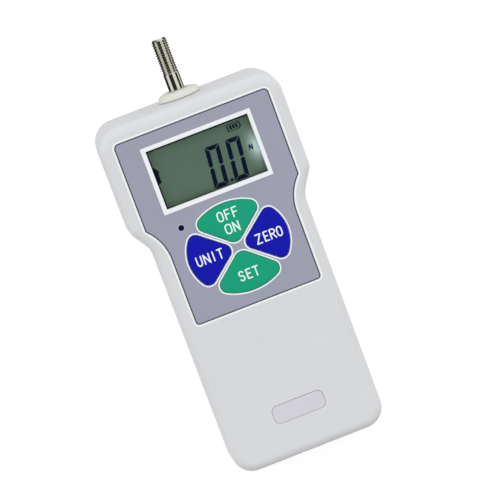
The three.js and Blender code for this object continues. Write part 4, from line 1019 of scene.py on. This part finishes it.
# a knurled bush with a blind bore, its open face at zero and its length up the z axis
def insertTree():
    tree, size = newShapeTree("knurledInsert", insert)
    knurl, chamfer, radius = size["Knurl depth"], size["Bore chamfer"], size["Radius"]

    def knurled(x, y, height):
        ridge = (calc("COSINE", calc("ARCTAN2", y, x) * size["Knurl count"]) + 1) * 0.5
        share = height / size["Length"]
        waist = calc("LESS_THAN", calc("ABSOLUTE", share - 0.5), size["Waist share"])
        depth = ridge * knurl * (1 - calc("LESS_THAN", share, size["Plain share"])) + waist * knurl * 2
        scale = (radius - depth) / radius
        return x * scale, y * scale, height

    def bore(x, y, height):
        level = height - chamfer
        flare = calc("MAXIMUM", chamfer - level, 0)
        scale = flare / size["Bore radius"] + 1
        return x * scale, y * scale, level

    body = shapedBar(tree, radius, size["Length"], size["Side count"], size["Row count"], knurled)
    hole = shapedBar(tree, size["Bore radius"], size["Bore depth"] + chamfer, size["Bore side count"],
                     size["Bore row count"], bore)
    return endTree(tree, size, repeated(tree, size, boolean(tree, "DIFFERENCE", body, hole)))


# the middle of each node's drive end, with the length and the radius of the last
def nodeSpots(nodes, faceUp):
    spots = []
    for node in nodes:
        low, high = [Vector(corner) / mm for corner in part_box(node)]
        spots.append(((low.x + high.x) / 2, (low.y + high.y) / 2, high.z if faceUp else low.z))
    return spots, high.z - low.z, (high.x - low.x) / 2


# screws and inserts stand in the places and have the lengths of their nodes
panScrew = screwTree()
screwKinds = {"housing_screw": (4, False), "board_screw": (2, False), "bracket_screw": (2, True)}
for name, (count, faceUp) in screwKinds.items():
    nodes = [f"{name}_{number + 1}" for number in range(count)]
    spots, length, radius = nodeSpots(nodes, faceUp)
    sizes = {**screw, "Length": length, "Turn": math.pi if faceUp else 0.0}
    placed(grownPiece(name + "s", panScrew, spots, sizes, finishes["zinc"]), "zinc", *nodes)
nodes = [f"mount_insert_{number + 1}" for number in range(4)]
spots, length, radius = nodeSpots(nodes, False)
sizes = {**insert, "Length": length, "Radius": radius}
placed(grownPiece("mount_inserts", insertTree(), spots, sizes, finishes["brass"]), "brass", *nodes)
print("screws and inserts made")

tongue = Sizes(floor=6.2, width=4.9, height=1.1, reach=4.6, round=0.15, nose=0.2, taper=0.12)
contact = {"Length": 3.6, "Width": 0.42, "Thickness": 0.12, "Turn": 0.0}
contactRow = Sizes(count=5, pitch=0.85)
jackPin = Sizes(floor=8.9, radius=1.06, reach=8.4, nose=0.3, round=0.35, sides=32)


def contactTree():
    tree, size = newShapeTree("contactStrips", contact)
    strip = block(tree, size["Length"], size["Width"], size["Thickness"])
    return endTree(tree, size, repeated(tree, size, strip))


portLow, portHigh = [Vector(corner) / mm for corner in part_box("data_port")]
portMiddle, tongueStart = (portLow + portHigh) / 2, portHigh.x - tongue.floor
tongueEnd = tongueStart + tongue.reach


def tongueRow(x, inset):
    return rectangleOutline(tongue.width - 2 * inset, tongue.height - 2 * inset, tongue.round, 3,
                            portMiddle.y, portMiddle.z), x


placed(sidewaysPiece("port_tongue", [
    tongueRow(tongueStart, 0), tongueRow(tongueEnd - tongue.nose, 0), tongueRow(tongueEnd, tongue.taper),
]), "black_plastic")
firstY = portMiddle.y - contactRow.pitch * (contactRow.count - 1) / 2
spots = [((tongueStart + tongueEnd) / 2, firstY + contactRow.pitch * number,
          portMiddle.z + tongue.height / 2) for number in range(contactRow.count)]
placed(grownPiece("port_contacts", contactTree(), spots, contact, finishes["brass"]), "brass")
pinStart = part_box("dc_jack")[1][0] / mm - jackPin.floor
pinEnd, pinRadius = pinStart + jackPin.reach, jackPin.radius
placed(sidewaysPiece("jack_pin", [
    (circle(radius, jackPin.sides, *sockets.jack), x)
    for radius, x in ((pinRadius, pinStart), (pinRadius, pinEnd),
                      (pinRadius - jackPin.round, pinEnd + jackPin.nose))
]), "zinc")
print("sockets made")

# CAD nodes that show their own shape, with the finish of each
switches = ("off_on", "unit", "set", "zero")
carried = {
    "steel": ["sensor_bolt"], "zinc": ["sensor_bracket", "rod_lock_nut", "data_port"],
    "aluminium": ["load_cell"], "board": ["main_board"], "foil": ["strain_gauge_front", "strain_gauge_back"],
    "rubber": ["contact_strip_lower", "contact_strip_upper"],
    "cell_sleeve": [f"battery_cell_{number + 1}" for number in range(4)],
    "lead_jacket": ["sensor_lead", "battery_lead"],
    "nylon": ["lcd_holder", "indicator_led", "sensor_connector", "battery_connector"]
    + [f"switch_stem_{key}" for key in switches],
    "black_plastic": ["processor_chip", "buzzer", "dc_jack", "battery_tray"]
    + [f"switch_body_{key}" for key in switches],
}
for finishName, nodeNames in carried.items():
    for nodeName in nodeNames:
        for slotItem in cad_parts[nodeName].material_slots:
            slotItem.material = finishes[finishName]
print("carried pieces finished")

studio = Sizes(
    floorSize=6.0, floorColour=(200, 200, 200), floorLift=0.53, floorDrop=-0.0001,
    floorRoughness=0.9, worldLight=1.07, brightSide=0.85, brightFrom=-0.2, brightTo=0.4,
    keyPower=1.5, keySize=1.6, keyPlace=(0.2, 0.8, 2.0), cardColour=(40, 38, 28),
    cardHigh=1.6, cardLow=0.0006, rightCard=(0.5, 0.9, 0.38),
)
# dark cards that only gloss sees, as a studio hangs them to shape a bright metal rod, in metres
cards = {
    "overhead": (studio.cardHigh, [(-2.5, -3.4), (0.5, -3.4), (0.25, 0), (0.5, 3.4), (-2.5, 3.4),
                                   (-1.75, 0)]),
    "left": (studio.cardLow, [(-0.6, -0.3), (-0.048, -0.3), (-0.048, 0.06), (-0.006, 0.06),
                              (-0.006, 0.5), (-0.6, 0.5)]),
    "middle": (studio.cardLow, [(-0.006, 0.06), (0.006, 0.06), (0.006, 0.0955), (-0.006, 0.0955)]),
    "nearRight": (studio.cardLow, [(0.006, 0.06), (0.047, 0.06), (0.047, 0.5), (0.006, 0.5)]),
}
corners = {name: [(x, y, z) for x, y in outline] for name, (z, outline) in cards.items()}
x, y, z = studio.rightCard
corners["right"] = [(x, -y, studio.cardLow), (x, y, studio.cardLow), (x, y, z), (x, -y, z)]


def seenDirectly(tree):
    path = newNode(tree, "LightPath").socket.node.outputs
    camera, glossy, through = [Term(path[f"Is {kind} Ray"]) for kind in ("Camera", "Glossy", "Transmission")]
    return calc("MAXIMUM", calc("MAXIMUM", camera, glossy), through)


def stagedSheet(name, points, paint, *hidden):
    mesh = bpy.data.meshes.new(name)
    mesh.from_pydata(points, [], [range(len(points))])
    mesh.materials.append(paint)
    sheet = newPiece(name, mesh)
    for kind in hidden:
        setattr(sheet, "visible_" + kind, False)


floorPaint, tree, shader = newPaint("floorPaint")
fillNode(shader, {"Base Color": fromScreen(*studio.floorColour), "Roughness": studio.floorRoughness,
                  "Specular IOR Level": 0})
glow = newNode(tree, "Emission", {"Strength": seenDirectly(tree) * studio.floorLift})
lit = newNode(tree, "AddShader", {0: Term(shader.outputs[0]), 1: glow})
# from underneath the floor is clear, and the light comes through it, so the back shows too
mixedSurface(tree, newNode(tree, "NewGeometry", output="Backfacing"), lit, newNode(tree, "BsdfTransparent"))
half = studio.floorSize / 2
floorCorners = [(a * half, b * half, studio.floorDrop) for a, b in cornerSigns]
stagedSheet("studio_floor", floorCorners, floorPaint, "diffuse", "shadow")
cardPaint, tree, shader = newPaint("cardPaint")
fillNode(shader, {"Base Color": fromScreen(*studio.cardColour), "Roughness": 1})
for name, points in corners.items():
    stagedSheet("card_" + name, points, cardPaint, "camera", "diffuse", "shadow", "transmission")

world = bpy.data.worlds.new("studioWorld")
bpy.context.scene.world = world
world.use_nodes = True
tree = world.node_tree
seen = seenDirectly(tree)
# a soft sky, darker towards the foot's side and alike from above and below
x, y, z = eachOutput(newNode(tree, "SeparateXYZ", {
    0: newNode(tree, "TexCoord", output="Generated"),
}))
slope = calc("ABSOLUTE", z) + (calc("ABSOLUTE", x) * studio.brightSide + y)
sky = newNode(tree, "MapRange", {
    "From Min": studio.brightFrom, "From Max": studio.brightTo, "Value": slope,
}, interpolation_type="SMOOTHSTEP")
fillNode(tree.nodes["Background"], {
    "Color": (1, 1, 1, 1), "Strength": seen + (1 - seen) * studio.worldLight * sky,
})

lamp = bpy.data.lights.new("keyLight", "AREA")
lamp.energy = studio.keyPower
lamp.size = studio.keySize
keyLight = newPiece("keyLight", lamp)
keyLight.location = studio.keyPlace
keyLight.rotation_euler = (-keyLight.location).to_track_quat("-Z", "Y").to_euler()

# where the photograph was taken from: the camera's place and its axes
view = Sizes(
    place=(-55.341, 183.168, 1000.962), right=(0.93126, -0.34578, 0.11487),
    up=(0.35989, 0.92216, -0.14177), back=(-0.05691, 0.17337, 0.98321),
    lens=196.5, sensor=36,
)
cameraData = bpy.data.cameras.new("photoCamera")
cameraData.sensor_fit = "HORIZONTAL"
cameraData.sensor_width = view.sensor
cameraData.lens = view.lens
camera = newPiece("photoCamera", cameraData)
axes = Matrix((view.right, view.up, view.back)).transposed().to_4x4()
camera.matrix_world = Matrix.Translation(Vector(view.place) * mm) @ axes
bpy.context.scene.camera = camera
bpy.context.scene.view_settings.view_transform = "Standard"

print("scene ready")
